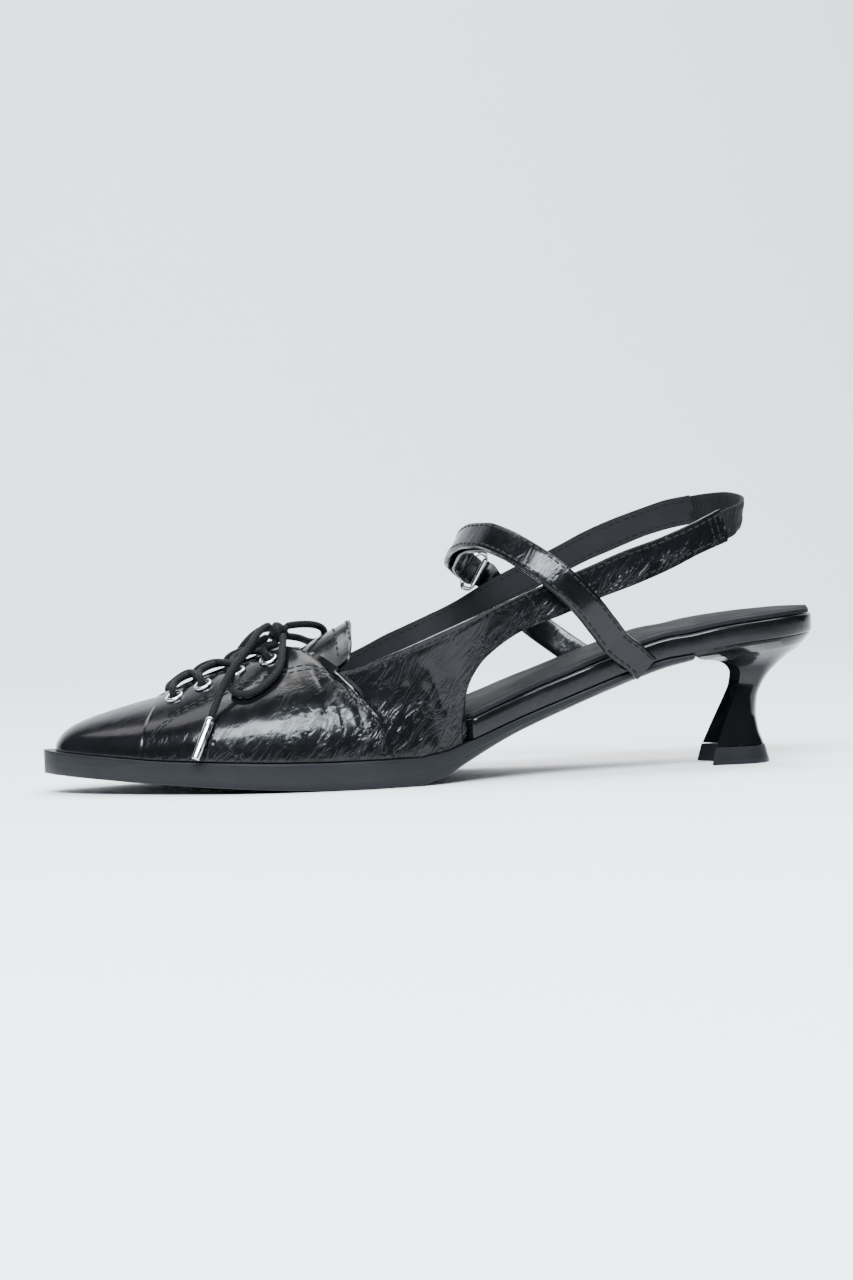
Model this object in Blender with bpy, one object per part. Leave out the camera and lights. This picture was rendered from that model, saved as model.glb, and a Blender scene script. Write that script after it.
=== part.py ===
"""Left slingback shoe with a laced vamp, a pointed chisel toe and a waisted heel.

The toe points to -X, the outer side of the foot faces -Y and the floor is at z = 0.
The origin is on the floor, in the middle of the length and of the ball width.
Tables hold shares: along as a share of SHOE_LENGTH from the toe, across as a share of
half of BALL_WIDTH from the middle, up as a share of INSTEP_HEIGHT from the floor.
"""

import math

import bmesh
import bpy
import numpy as np

SHOE_LENGTH = 0.2667
BALL_WIDTH = 0.078
SEAT_HEIGHT = 0.0447
INSTEP_HEIGHT = 0.048
TOE_SPRING = 0.0069
TOE_CORNER = 0.004
SEAT_ROUNDING = 0.027
SOLE_THICKNESS = 0.009
SOLE_SIDE_STEP = 0.0003
SOLE_EDGE = 0.0007
WELT_LEDGE = 0.0022
TOE_LEDGE = 0.0040
UPPER_WALL = 0.0016
UPPER_REST = 0.0005
OVERLAY = 0.0008
RAND_HEIGHT = 0.0072
RAND_EDGE = 0.0014
BOARD_TUCK = 0.0017
SEAT_INSET = 0.0008
INSOLE_THICKNESS = 0.0015
INSOLE_INSET = 0.0009
INSOLE_CROWN = 0.5
TONGUE_THICKNESS = 0.0016
TONGUE_CLEARANCE = 0.0009
STRAP_WIDTH = 0.0098
STRAP_THICKNESS = 0.0018
STRAP_LAYER_GAP = 0.0005
ELASTIC_THICKNESS = 0.0014
ELASTIC_WIDTH = 0.0100
RING_LENGTH = 0.0155
RING_BREADTH = 0.0080
RING_WIRE = 0.0018
EYELET_OUTSIDE = 0.0066
EYELET_BORE = 0.0040
EYELET_WALL = 0.0004
EYELET_FLANGE = 0.0006
EYELET_LIFT = 0.0004
EYELET_SIDES = 10
HOLE_TURN = 0.1
LACE_DIAMETER = 0.0025
KNOT_SIZE = 0.0072
AGLET_DIAMETER = 0.0030
AGLET_LENGTH = 0.0157
AGLET_MOUTH = 0.85
AGLET_TIP = 0.8
TOP_PIECE_HEIGHT = 0.0060
HEEL_FOOT_WIDTH = 0.0232
HEEL_FOOT_LENGTH = 0.0229
GAP = 0.0003
WELD = 0.00001

HALF_BALL = BALL_WIDTH / 2
TOE_X = -SHOE_LENGTH / 2

FLAT_FROM = 0.350
FLAT_TO = 0.463
SPRING_POWER = 1.35
BREAST = 0.823
QUARTER_END = 0.516
TOP_PIECE_TAPER = 0.97
BAND_OPENS = (0.519, 0.523, 0.528, 0.532)

# Plan outline of the sole: along, outer edge and inner edge
OUTLINE = {
    "along": (
        0, 0.024, 0.081, 0.156, 0.231, 0.306, 0.381, 0.456, 0.531, 0.606, 0.681, 0.774, 0.868, 1,
    ),
    "outer": (
        0.10, -0.10, -0.385, -0.667, -0.872, -0.974, -1, -0.923, -0.80, -0.68, -0.625, -0.605,
        -0.625, -0.60,
    ),
    "inner": (
        0.36, 0.487, 0.667, 0.846, 0.962, 1, 0.974, 0.897, 0.782, 0.679, 0.655, 0.679, 0.718, 0.705,
    ),
}

# Underside of the sole behind the ball, as a share of SEAT_HEIGHT
ARCH = {
    "along": (
        0.463, 0.495, 0.523, 0.557, 0.598, 0.658, 0.718, 0.752, 0.786, 0.823, 0.85, 0.90, 0.95, 1,
    ),
    "up": (
        0, 0.062, 0.150, 0.252, 0.362, 0.502, 0.637, 0.708, 0.773, 0.825, 0.862, 0.905, 0.937, 0.965,
    ),
}

# Sole thickness as a share of SOLE_THICKNESS; behind the breast the heel takes its place
THICKNESS = {
    "along": (
        0, 0.12, 0.19, 0.276, 0.356, 0.434, 0.463, 0.495, 0.523, 0.557, 0.598, 0.658, 0.752, 0.786,
        0.823, 0.9, 1,
    ),
    "deep": (
        0.87, 0.86, 0.92, 0.99, 1.04, 1.04, 1.03, 0.90, 0.75, 0.62, 0.53, 0.46, 0.41, 0.37, 0.27,
        0.22, 0.18,
    ),
}

# Height of the board and its band, as a share of RAND_HEIGHT
BAND = {
    "along": (0, 0.42, 0.47, 0.50, 0.52, 0.56, 0.62, 0.68, 0.75, 0.83, 0.90, 0.96, 1),
    "high": (0.24, 0.26, 0.40, 0.75, 1, 1, 1.04, 1.04, 1, 0.98, 0.97, 0.95, 0.85),
}

# Share by which the sole narrows below its top edge
BEVEL = {
    "along": (0, 0.45, 0.52, 0.60, 0.823),
    "narrow": (0.02, 0.02, 0.06, 0.16, 0.18),
}

# Upper, a row for each section from the toe tip to the end of the sling straps.
# low and top: where the section starts and ends along the shoe. low_out, low_in, low_up: its
# lower end once it leaves the sole. top_out, top_in, top_up: its upper end. rise, lie, dip: how
# the section leaves the sole and meets its upper end. lift_top, lift_low: how much higher the
# inner side stands.
ON_SOLE = None
UPPER_COLUMNS = (
    "low", "low_out", "low_in", "low_up", "top", "top_out", "top_in", "top_up",
    "rise", "lie", "dip", "lift_top", "lift_low",
)
UPPER = (
    (0.0150, ON_SOLE, ON_SOLE, ON_SOLE, 0.0158, 0.228, 0.228, 0.330, 0.40, 0.50, 0.20, 0, 0),
    (0.0150, ON_SOLE, ON_SOLE, ON_SOLE, 0.0173, 0.228, 0.228, 0.357, 0.45, 0.50, 0.15, 0, 0),
    (0.0165, ON_SOLE, ON_SOLE, ON_SOLE, 0.0210, 0.228, 0.228, 0.388, 0.50, 0.50, 0.12, 0, 0),
    (0.0210, ON_SOLE, ON_SOLE, ON_SOLE, 0.0290, 0.226, 0.226, 0.435, 0.55, 0.50, 0.10, 0, 0),
    (0.0300, ON_SOLE, ON_SOLE, ON_SOLE, 0.0418, 0.221, 0.221, 0.479, 0.55, 0.50, 0.10, 0, 0),
    (0.0450, ON_SOLE, ON_SOLE, ON_SOLE, 0.0610, 0.213, 0.213, 0.521, 0.55, 0.48, 0.10, 0, 0),
    (0.0660, ON_SOLE, ON_SOLE, ON_SOLE, 0.0880, 0.200, 0.200, 0.567, 0.55, 0.46, 0.10, 0, 0),
    (0.0919, ON_SOLE, ON_SOLE, ON_SOLE, 0.1180, 0.182, 0.182, 0.612, 0.55, 0.45, 0.10, 0, 0),
    (0.1144, ON_SOLE, ON_SOLE, ON_SOLE, 0.1500, 0.165, 0.165, 0.655, 0.55, 0.45, 0.10, 0, 0),
    (0.1185, ON_SOLE, ON_SOLE, ON_SOLE, 0.1580, 0.160, 0.160, 0.667, 0.55, 0.45, 0.10, 0, 0),
    (0.1204, ON_SOLE, ON_SOLE, ON_SOLE, 0.1600, 0.158, 0.158, 0.670, 0.55, 0.45, 0.10, 0, 0),
    (0.1480, ON_SOLE, ON_SOLE, ON_SOLE, 0.1744, 0.140, 0.140, 0.700, 0.55, 0.45, 0.10, 0, 0),
    (0.1780, ON_SOLE, ON_SOLE, ON_SOLE, 0.1837, 0.050, 0.200, 0.721, 0.55, 0.45, 0.10, 0, 0),
    (0.2080, ON_SOLE, ON_SOLE, ON_SOLE, 0.2040, 0.010, 0.225, 0.763, 0.55, 0.45, 0.10, 0, 0),
    (0.2456, ON_SOLE, ON_SOLE, ON_SOLE, 0.2400, -0.018, 0.250, 0.829, 0.55, 0.45, 0.10, 0, 0),
    (0.2870, ON_SOLE, ON_SOLE, ON_SOLE, 0.2737, -0.040, 0.270, 0.890, 0.55, 0.45, 0.10, 0, 0),
    (0.3280, ON_SOLE, ON_SOLE, ON_SOLE, 0.2960, -0.085, 0.315, 0.938, 0.55, 0.45, 0.10, 0, 0),
    (0.3620, ON_SOLE, ON_SOLE, ON_SOLE, 0.3112, -0.165, 0.400, 0.965, 0.52, 0.42, 0.10, 0, 0),
    (0.3880, ON_SOLE, ON_SOLE, ON_SOLE, 0.3280, -0.300, 0.520, 0.942, 0.50, 0.42, 0.14, 0, 0),
    (0.4106, ON_SOLE, ON_SOLE, ON_SOLE, 0.3450, -0.475, 0.640, 0.883, 0.45, 0.45, 0.20, 0, 0),
    (0.4240, ON_SOLE, ON_SOLE, ON_SOLE, 0.3610, -0.655, 0.765, 0.810, 0.40, 0.50, 0.28, 0, 0),
    (0.4260, ON_SOLE, ON_SOLE, ON_SOLE, 0.3637, -0.675, 0.785, 0.800, 0.40, 0.50, 0.30, 0, 0),
    (0.4440, ON_SOLE, ON_SOLE, ON_SOLE, 0.3825, -0.730, 0.805, 0.825, 0.38, 0.50, 0.30, 0, 0),
    (0.4670, ON_SOLE, ON_SOLE, ON_SOLE, 0.4200, -0.790, 0.825, 0.898, 0.36, 0.50, 0.32, 0.01, 0),
    (0.4890, ON_SOLE, ON_SOLE, ON_SOLE, 0.4590, -0.815, 0.840, 0.979, 0.36, 0.45, 0.33, 0.03, 0),
    (0.5060, ON_SOLE, ON_SOLE, ON_SOLE, 0.4874, -0.825, 0.850, 1.042, 0.35, 0.40, 0.33, 0.03, 0),
    (0.5160, ON_SOLE, ON_SOLE, ON_SOLE, 0.5060, -0.826, 0.860, 1.083, 0.35, 0.40, 0.33, 0.03, 0),
    (0.5170, -0.785, 0.760, 0.417, 0.5174, -0.826, 0.865, 1.110, 0.34, 0.36, 0.33, 0.03, 0),
    (0.5190, -0.795, 0.785, 0.552, 0.5287, -0.826, 0.870, 1.135, 0.34, 0.34, 0.33, 0.03, 0),
    (0.5264, -0.810, 0.810, 0.688, 0.5400, -0.826, 0.872, 1.163, 0.33, 0.33, 0.33, 0.03, 0.01),
    (0.5410, -0.820, 0.830, 0.823, 0.5530, -0.826, 0.872, 1.194, 0.33, 0.33, 0.33, 0.035, 0.02),
    (0.5636, -0.825, 0.850, 0.935, 0.5700, -0.822, 0.872, 1.233, 0.33, 0.33, 0.33, 0.05, 0.045),
    (0.5980, -0.825, 0.865, 1.048, 0.5940, -0.815, 0.872, 1.288, 0.33, 0.33, 0.33, 0.07, 0.08),
    (0.6468, -0.820, 0.870, 1.140, 0.6355, -0.800, 0.872, 1.375, 0.33, 0.33, 0.33, 0.095, 0.12),
    (0.6974, -0.795, 0.855, 1.248, 0.6840, -0.782, 0.860, 1.471, 0.33, 0.33, 0.33, 0.115, 0.155),
    (0.7420, -0.770, 0.830, 1.328, 0.7290, -0.756, 0.845, 1.567, 0.33, 0.33, 0.33, 0.14, 0.185),
    (0.7908, -0.718, 0.790, 1.428, 0.7800, -0.708, 0.800, 1.654, 0.33, 0.33, 0.33, 0.163, 0.19),
    (0.8330, -0.640, 0.720, 1.528, 0.8250, -0.631, 0.720, 1.746, 0.33, 0.33, 0.33, 0.155, 0.165),
    (0.8736, -0.540, 0.630, 1.608, 0.8650, -0.513, 0.610, 1.838, 0.33, 0.33, 0.33, 0.11, 0.13),
)
RIDGE_END = 11
TOE_SEAM = 10
REAR_SEAM = 20
FREE_FROM = 27
# Sections stand close at the sole so that the rim there is square to the wall
SECTION_STEPS = 7
SECTION_EASE = 1.3
# Rows after which no section is put in between: the tip, the two seams and the straps
CLOSE_ROWS = (0, 1, 2, 3, 8, 9, 20, 26, 27, 32, 33, 34, 35, 36)

# Tongue behind the eyestays: along, ridge height, half width and height of its edge
TONGUE_COLUMNS = ("along", "ridge", "half", "edge")
TONGUE = (
    (0.328, 0.950, 0.44, 0.800),
    (0.347, 1.010, 0.51, 0.790),
    (0.366, 1.066, 0.54, 0.815),
    (0.381, 1.108, 0.48, 0.880),
    (0.388, 1.130, 0.36, 0.975),
    (0.391, 1.138, 0.20, 1.070),
)
TONGUE_MIDDLE = 0.10
TONGUE_ARCH = 1.8

# Heel sections from its foot to the seat: height of back and front, back and front edge along
# the shoe, greatest half width and half width of the front corners, hollow of the breast
HEEL_COLUMNS = ("up_back", "up_front", "back", "front", "half", "corner", "hollow")
HEEL = (
    (0.141, 0.141, 0.9330, 0.8615, 0.275, 0.265, 0.0060),
    (0.257, 0.257, 0.9262, 0.8698, 0.250, 0.240, 0.0070),
    (0.387, 0.387, 0.9235, 0.8795, 0.225, 0.212, 0.0075),
    (0.508, 0.508, 0.9254, 0.8890, 0.208, 0.192, 0.0075),
    (0.611, 0.611, 0.9325, 0.8960, 0.205, 0.185, 0.0070),
    (0.694, 0.694, 0.9427, 0.8980, 0.220, 0.195, 0.0060),
    (0.760, 0.745, 0.9540, 0.8945, 0.260, 0.230, 0.0055),
    (0.820, 0.785, 0.9660, 0.8830, 0.330, 0.310, 0.0050),
    (0.880, 0.812, 0.9800, 0.8600, 0.430, 0.420, 0.0040),
    (0.935, 0.830, 0.9890, 0.8350, 0.540, 0.520, 0.0020),
)
HEEL_MIDDLE = 0.045
HEEL_TURN = 0.55
BACK_POINTS = 11
BREAST_POINTS = 6
SEAT_REACH = 0.985

# Strap paths: along, across, up, then the direction of the strap's width
STRAP_COLUMNS = ("along", "across", "up", "wide_x", "wide_y", "wide_z")
INSTEP_STRAP = (
    (0.7570, -0.672, 0.735, 0.72, 0.00, 0.60),
    (0.7400, -0.700, 0.825, 0.74, 0.00, 0.62),
    (0.7180, -0.757, 0.915, 0.76, 0.00, 0.65),
    (0.6955, -0.840, 1.065, 0.76, 0.00, 0.65),
    (0.6750, -0.890, 1.205, 0.74, 0.04, 0.66),
    (0.6505, -0.895, 1.345, 0.72, 0.08, 0.68),
    (0.6280, -0.830, 1.460, 0.68, 0.10, 0.72),
    (0.6055, -0.690, 1.560, 0.64, 0.10, 0.76),
    (0.5870, -0.500, 1.635, 0.60, 0.08, 0.80),
    (0.5710, -0.270, 1.678, 0.56, 0.04, 0.83),
    (0.5590, -0.040, 1.675, 0.53, 0.00, 0.85),
    (0.5515, 0.220, 1.630, 0.50, -0.05, 0.86),
    (0.5520, 0.460, 1.550, 0.48, -0.12, 0.87),
    (0.5680, 0.632, 1.448, 0.46, -0.18, 0.87),
)
INSTEP_STRAP_RETURN = 2.3

RING_STRAP = (
    (0.5868, 0.826, 1.422, 0.46, -0.18, 0.87),
    (0.5942, 0.905, 1.402, 0.50, -0.16, 0.85),
    (0.6030, 0.966, 1.340, 0.58, -0.06, 0.81),
    (0.6170, 0.964, 1.250, 0.64, -0.02, 0.76),
    (0.6340, 0.940, 1.160, 0.68, 0.00, 0.73),
    (0.6560, 0.918, 1.040, 0.70, 0.00, 0.71),
    (0.6800, 0.862, 0.930, 0.70, 0.00, 0.71),
    (0.7000, 0.780, 0.840, 0.70, 0.00, 0.70),
    (0.7180, 0.726, 0.765, 0.70, 0.00, 0.70),
)
RING_PLACE = {"along": 0.5745, "across": 0.742, "up": 1.445}
RING_LONG = (0.46, -0.18, 0.87)
RING_SHORT = (0.62, 0.66, -0.30)

ELASTIC = (
    (0.8760, -0.505, 1.735, 0.22, 0.05, 0.97),
    (0.8900, -0.400, 1.768, 0.20, 0.05, 0.98),
    (0.9030, -0.220, 1.800, 0.16, 0.03, 0.98),
    (0.9095, -0.020, 1.830, 0.10, 0.00, 0.99),
    (0.9080, 0.190, 1.850, 0.08, 0.00, 0.99),
    (0.9000, 0.380, 1.860, 0.10, 0.00, 0.99),
    (0.8870, 0.530, 1.855, 0.14, 0.00, 0.99),
    (0.8745, 0.615, 1.845, 0.18, 0.00, 0.98),
)

# Eyelets of one row: place along the shoe and distance down from the edge or the ridge
EYELET_COLUMNS = ("along", "margin")
EYELETS = (
    (0.166, 0.0115),
    (0.202, 0.0076),
    (0.244, 0.0064),
    (0.286, 0.0058),
)

# Routes of the free lace, chosen by hand, in metres
LACE_LOOP_OUTER = (
    (-0.0516, -0.0026, 0.0506), (-0.0522, -0.0064, 0.0486), (-0.0529, -0.0108, 0.0458),
    (-0.0538, -0.0158, 0.0427), (-0.0557, -0.0202, 0.0390), (-0.0601, -0.0230, 0.0354),
    (-0.0650, -0.0247, 0.0326), (-0.0694, -0.0236, 0.0324), (-0.0718, -0.0205, 0.0345),
    (-0.0712, -0.0172, 0.0382), (-0.0688, -0.0145, 0.0420), (-0.0650, -0.0108, 0.0456),
    (-0.0607, -0.0058, 0.0486), (-0.0571, -0.0012, 0.0501),
)
LACE_LOOP_INNER = (
    (-0.0497, 0.0034, 0.0535), (-0.0456, 0.0068, 0.0538), (-0.0412, 0.0105, 0.0536),
    (-0.0374, 0.0140, 0.0527), (-0.0350, 0.0180, 0.0507), (-0.0348, 0.0222, 0.0482),
    (-0.0370, 0.0240, 0.0466), (-0.0400, 0.0215, 0.0470), (-0.0430, 0.0160, 0.0483),
    (-0.0465, 0.0095, 0.0494), (-0.0501, 0.0044, 0.0500),
)
LACE_END_OUTER = (
    (-0.0562, -0.0011, 0.0541), (-0.0595, -0.0066, 0.0530), (-0.0630, -0.0128, 0.0494),
    (-0.0665, -0.0172, 0.0454), (-0.0698, -0.0200, 0.0418), (-0.0727, -0.0219, 0.0380),
    (-0.0750, -0.0236, 0.0338), (-0.0772, -0.0254, 0.0293), (-0.0790, -0.0271, 0.0254),
)
LACE_END_INNER = (
    (-0.0543, 0.0048, 0.0530), (-0.0575, 0.0105, 0.0525), (-0.0612, 0.0172, 0.0493),
    (-0.0645, 0.0230, 0.0447), (-0.0670, 0.0272, 0.0390), (-0.0688, 0.0304, 0.0332),
    (-0.0702, 0.0330, 0.0282),
)
KNOT_PLACE = (-0.0530, 0.0010, 0.0518)
# Where the last two strands meet the knot from below: along, across to each side, down
KNOT_ENTRY = (-0.0006, 0.0018, -0.0041)
KNOT_AXIS = (0.75, 0.35, 0.35)
KNOT_FULLNESS = 0.41
KNOT_HALF_LENGTH = 0.52
KNOT_WRAP = 0.074
KNOT_WRAP_WIDTH = 0.3
# Where a strand passes over the edge, as a share of the way from its eyelet to the edge
EDGE_PASS = 0.65


def smooth(keys, values, at):
    """Monotone cubic through the keys, read at the places in at."""
    keys = np.asarray(keys, float)
    values = np.asarray(values, float)
    at = np.asarray(at, float)
    step = np.diff(keys)
    slope = np.diff(values) / step
    bend = np.zeros(len(keys))
    same = slope[:-1] * slope[1:] > 0
    weight = step[:-1] + 2 * step[1:], 2 * step[:-1] + step[1:]
    before = np.where(same, slope[:-1], 1)
    after = np.where(same, slope[1:], 1)
    blend = (weight[0] + weight[1]) / (weight[0] / before + weight[1] / after)
    bend[1:-1] = np.where(same, blend, 0)
    bend[0] = slope[0]
    bend[-1] = slope[-1]
    i = np.clip(np.searchsorted(keys, at, side="right") - 1, 0, len(step) - 1)
    t = np.clip((at - keys[i]) / step[i], 0, 1)
    low = (1 + 2 * t) * (1 - t) ** 2 * values[i] + t * (1 - t) ** 2 * step[i] * bend[i]
    high = t * t * (3 - 2 * t) * values[i + 1] + t * t * (t - 1) * step[i] * bend[i + 1]
    return low + high


def columns(names, rows):
    return {name: [row[i] for row in rows] for i, name in enumerate(names)}


def along_x(share):
    return (np.asarray(share, float) - 0.5) * SHOE_LENGTH


def share_at(x):
    return np.asarray(x, float) / SHOE_LENGTH + 0.5


def unit(vector):
    vector = np.asarray(vector, float)
    return vector / np.linalg.norm(vector, axis=-1, keepdims=True)


def place(along, across, up):
    return np.array([along_x(along), across * HALF_BALL, up * INSTEP_HEIGHT], float)


def outline(x, inset, front=0.0):
    """Outer and inner edge of the sole at x, drawn in by inset at the sides and back and by front
    at the toe, with a chisel toe and a round seat."""
    share = share_at(x)
    outer = smooth(OUTLINE["along"], OUTLINE["outer"], share) * HALF_BALL + inset
    inner = smooth(OUTLINE["along"], OUTLINE["inner"], share) * HALF_BALL - inset
    middle = (outer + inner) / 2
    half = (inner - outer) / 2
    ahead = np.clip(1 - (x - TOE_X - front) / TOE_CORNER, 0, 1)
    half = half - TOE_CORNER * (1 - np.sqrt(1 - ahead**2))
    back = SHOE_LENGTH / 2 - inset
    behind = np.clip((x - back) / SEAT_ROUNDING + 1, 0, 1)
    half = half * np.sqrt(1 - behind**2)
    return middle - half, middle + half


def sole_under(x):
    """Underside of the sole: toe spring, flat tread under the ball, arch."""
    share = share_at(x)
    ahead = np.clip((FLAT_FROM - share) / FLAT_FROM, 0, 1)
    arch = smooth(ARCH["along"], ARCH["up"], np.maximum(share, FLAT_TO)) * SEAT_HEIGHT
    return TOE_SPRING * ahead**SPRING_POWER + arch


def sole_top(x):
    deep = smooth(THICKNESS["along"], THICKNESS["deep"], share_at(x))
    return sole_under(x) + deep * SOLE_THICKNESS


def band_top(x):
    return sole_top(x) + GAP + smooth(BAND["along"], BAND["high"], share_at(x)) * RAND_HEIGHT


def material(name, colour, roughness, metallic=0.0):
    made = bpy.data.materials.new(name)
    made.use_nodes = True
    shader = made.node_tree.nodes["Principled BSDF"]
    shader.inputs["Base Color"].default_value = (*colour, 1)
    shader.inputs["Roughness"].default_value = roughness
    shader.inputs["Metallic"].default_value = metallic
    return made


def piece(name, points, faces, look):
    """One closed mesh object, its doubles welded and its faces turned outwards."""
    mesh = bpy.data.meshes.new(name)
    mesh.from_pydata([tuple(map(float, p)) for p in points], [], faces)
    shape = bmesh.new()
    shape.from_mesh(mesh)
    bmesh.ops.remove_doubles(shape, verts=shape.verts, dist=WELD)
    bmesh.ops.recalc_face_normals(shape, faces=shape.faces)
    shape.to_mesh(mesh)
    shape.free()
    mesh.materials.append(look)
    mesh.shade_smooth()
    mesh.set_sharp_from_angle(angle=math.radians(40))
    made = bpy.data.objects.new(name, mesh)
    bpy.context.scene.collection.objects.link(made)
    return made


def loft(rings):
    """Points and faces of a solid through rings of equal length, with flat ends."""
    count = len(rings[0])
    points = np.concatenate(rings)
    faces = []
    for k in range(len(rings) - 1):
        for i in range(count):
            j = (i + 1) % count
            n = k + 1
            faces.append((k * count + i, k * count + j, n * count + j, n * count + i))
    faces.append(tuple(range(count))[::-1])
    faces.append(tuple(range((len(rings) - 1) * count, len(rings) * count)))
    return points, faces


def closed_ring_loft(rings):
    """Points and faces of a solid whose last ring joins its first."""
    count = len(rings[0])
    points = np.concatenate(rings)
    faces = []
    for k in range(len(rings)):
        n = (k + 1) % len(rings)
        for i in range(count):
            j = (i + 1) % count
            faces.append((k * count + i, k * count + j, n * count + j, n * count + i))
    return points, faces


def outline_places(front, last, inset, extra=()):
    """Places along the shoe for sections, close together where the plan turns fast."""
    toe = TOE_X + front + TOE_CORNER * np.array([0, 0.12, 0.4, 1])
    plain = along_x(np.concatenate([np.linspace(0.03, 0.88, 26), extra]))
    turn = np.sin(np.linspace(0.12, 1.5, 8))
    turn[-1] = 0.999
    back = SHOE_LENGTH / 2 - inset - SEAT_ROUNDING + SEAT_ROUNDING * turn
    places = np.concatenate([toe, np.sort(plain[(plain > toe[-1]) & (plain < back[0])]), back])
    return np.append(places[places < last], last) if last < places[-1] else places


def make_outsole(look):
    rings = []
    for x in outline_places(0, along_x(BREAST), 0):
        outer, inner = outline(x, 0)
        under = sole_under(x)
        top = sole_top(x)
        deep = top - under
        edge = min(SOLE_EDGE, deep / 4, (inner - outer) / 6)
        narrow = smooth(BEVEL["along"], BEVEL["narrow"], share_at(x)) * (inner - outer) / 2
        step = min(SOLE_SIDE_STEP, narrow / 3)
        side = (
            (edge, top), (0, top - edge), (0, top - deep * 0.45), (step, top - deep * 0.5),
            (step + narrow * 0.35, under + deep * 0.25), (narrow + edge, under),
        )
        ring = [(x, outer + inward, z) for inward, z in side]
        ring += [(x, inner - inward, z) for inward, z in reversed(side)]
        rings.append(np.array(ring))
    return piece("outsole", *loft(rings), look)


def board_inset(x):
    """The board hides inside the upper and widens behind the quarters to show its band."""
    hidden = WELT_LEDGE + UPPER_WALL + BOARD_TUCK
    keys = (0, BAND_OPENS[0], BAND_OPENS[-1], 1)
    return smooth(keys, (hidden, hidden, 0, 0), share_at(x))


def board_places(inset):
    front = TOE_LEDGE + UPPER_WALL + BOARD_TUCK + inset
    return outline_places(front, SHOE_LENGTH, inset, BAND_OPENS)


def make_board(look):
    front = TOE_LEDGE + UPPER_WALL + BOARD_TUCK
    rings = []
    for x in board_places(0):
        outer, inner = outline(x, board_inset(x), front)
        low = sole_top(x) + GAP
        top = band_top(x)
        edge = min(RAND_EDGE, (top - low) / 3, (inner - outer) / 6)
        soft = edge * 0.3
        side = ((edge, top), (soft, top - soft), (0, top - edge), (0, low + soft), (soft, low))
        ring = [(x, outer + inward, z) for inward, z in side]
        ring += [(x, inner - inward, z) for inward, z in reversed(side)]
        rings.append(np.array(ring))
    return piece("covered_board", *loft(rings), look)


def make_insole(look):
    front = TOE_LEDGE + UPPER_WALL + BOARD_TUCK + INSOLE_INSET
    rings = []
    for x in board_places(INSOLE_INSET):
        outer, inner = outline(x, board_inset(x) + INSOLE_INSET, front)
        low = band_top(x) + GAP
        width = inner - outer
        edge = min(INSOLE_THICKNESS * 0.6, width / 5)
        lip = low + INSOLE_THICKNESS * 0.4
        flat = low + INSOLE_THICKNESS
        ring = [(x, outer, low), (x, outer, lip), (x, outer + edge, flat)]
        for share in (0.25, 0.5, 0.75):
            crown = INSOLE_THICKNESS * INSOLE_CROWN * math.sin(math.pi * share)
            ring.append((x, outer + width * share, flat + crown))
        ring += [(x, inner - edge, flat), (x, inner, lip), (x, inner, low)]
        rings.append(np.array(ring))
    return piece("insole", *loft(rings), look)


def heel_ring(back, front, up_back, up_front, half, corner, hollow):
    """D shaped section: round back, straight flanks and a hollow breast."""
    middle = HEEL_MIDDLE * HALF_BALL
    turn = front + (back - front) * HEEL_TURN
    points = []
    for angle in np.linspace(-math.pi / 2, math.pi / 2, BACK_POINTS):
        points.append((turn + (back - turn) * math.cos(angle), middle + half * math.sin(angle)))
    for share in np.linspace(1, -1, BREAST_POINTS):
        points.append((front + hollow * (1 - share**2), middle + corner * share))
    points = np.array(points)
    tilt = (points[:, 0] - front) / (back - front)
    return np.column_stack([points, up_front + (up_back - up_front) * tilt])


def heel_seat(count, flat):
    """Top ring of the heel: the round seat's plan behind a straight edge at the breast."""
    middle_turn = SHOE_LENGTH / 2 - SEAT_INSET - SEAT_ROUNDING
    front = along_x(BREAST) + GAP
    points = []
    for angle in np.linspace(-math.pi / 2, math.pi / 2, count - flat):
        x = middle_turn + SEAT_ROUNDING * math.cos(angle) * SEAT_REACH
        outer, inner = outline(x, SEAT_INSET)
        across = inner if angle > 0 else outer
        points.append((x, across if abs(angle) > WELD else (inner + outer) / 2))
    outer, inner = outline(front, SEAT_INSET)
    for share in np.linspace(1, -1, flat):
        points.append((front, (inner + outer) / 2 + (inner - outer) / 2 * share))
    return np.array(points)


def make_heel(look):
    rows = columns(HEEL_COLUMNS, HEEL)
    keys = range(len(HEEL))
    rings = []
    for spot in np.arange(0, len(HEEL) - 0.5, 0.5):
        row = {name: float(smooth(keys, rows[name], spot)) for name in HEEL_COLUMNS}
        ups = row["up_back"] * SEAT_HEIGHT, row["up_front"] * SEAT_HEIGHT
        halves = row["half"] * HALF_BALL, row["corner"] * HALF_BALL
        rings.append(
            heel_ring(along_x(row["back"]), along_x(row["front"]), *ups, *halves, row["hollow"])
        )
    rings[0][:, 2] = TOP_PIECE_HEIGHT + GAP
    top = heel_seat(len(rings[0]), BREAST_POINTS)
    for drop in (SEAT_INSET, 0):
        rings.append(np.column_stack([top, sole_top(top[:, 0]) - drop]))
    return piece("heel", *loft(rings), look)


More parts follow.
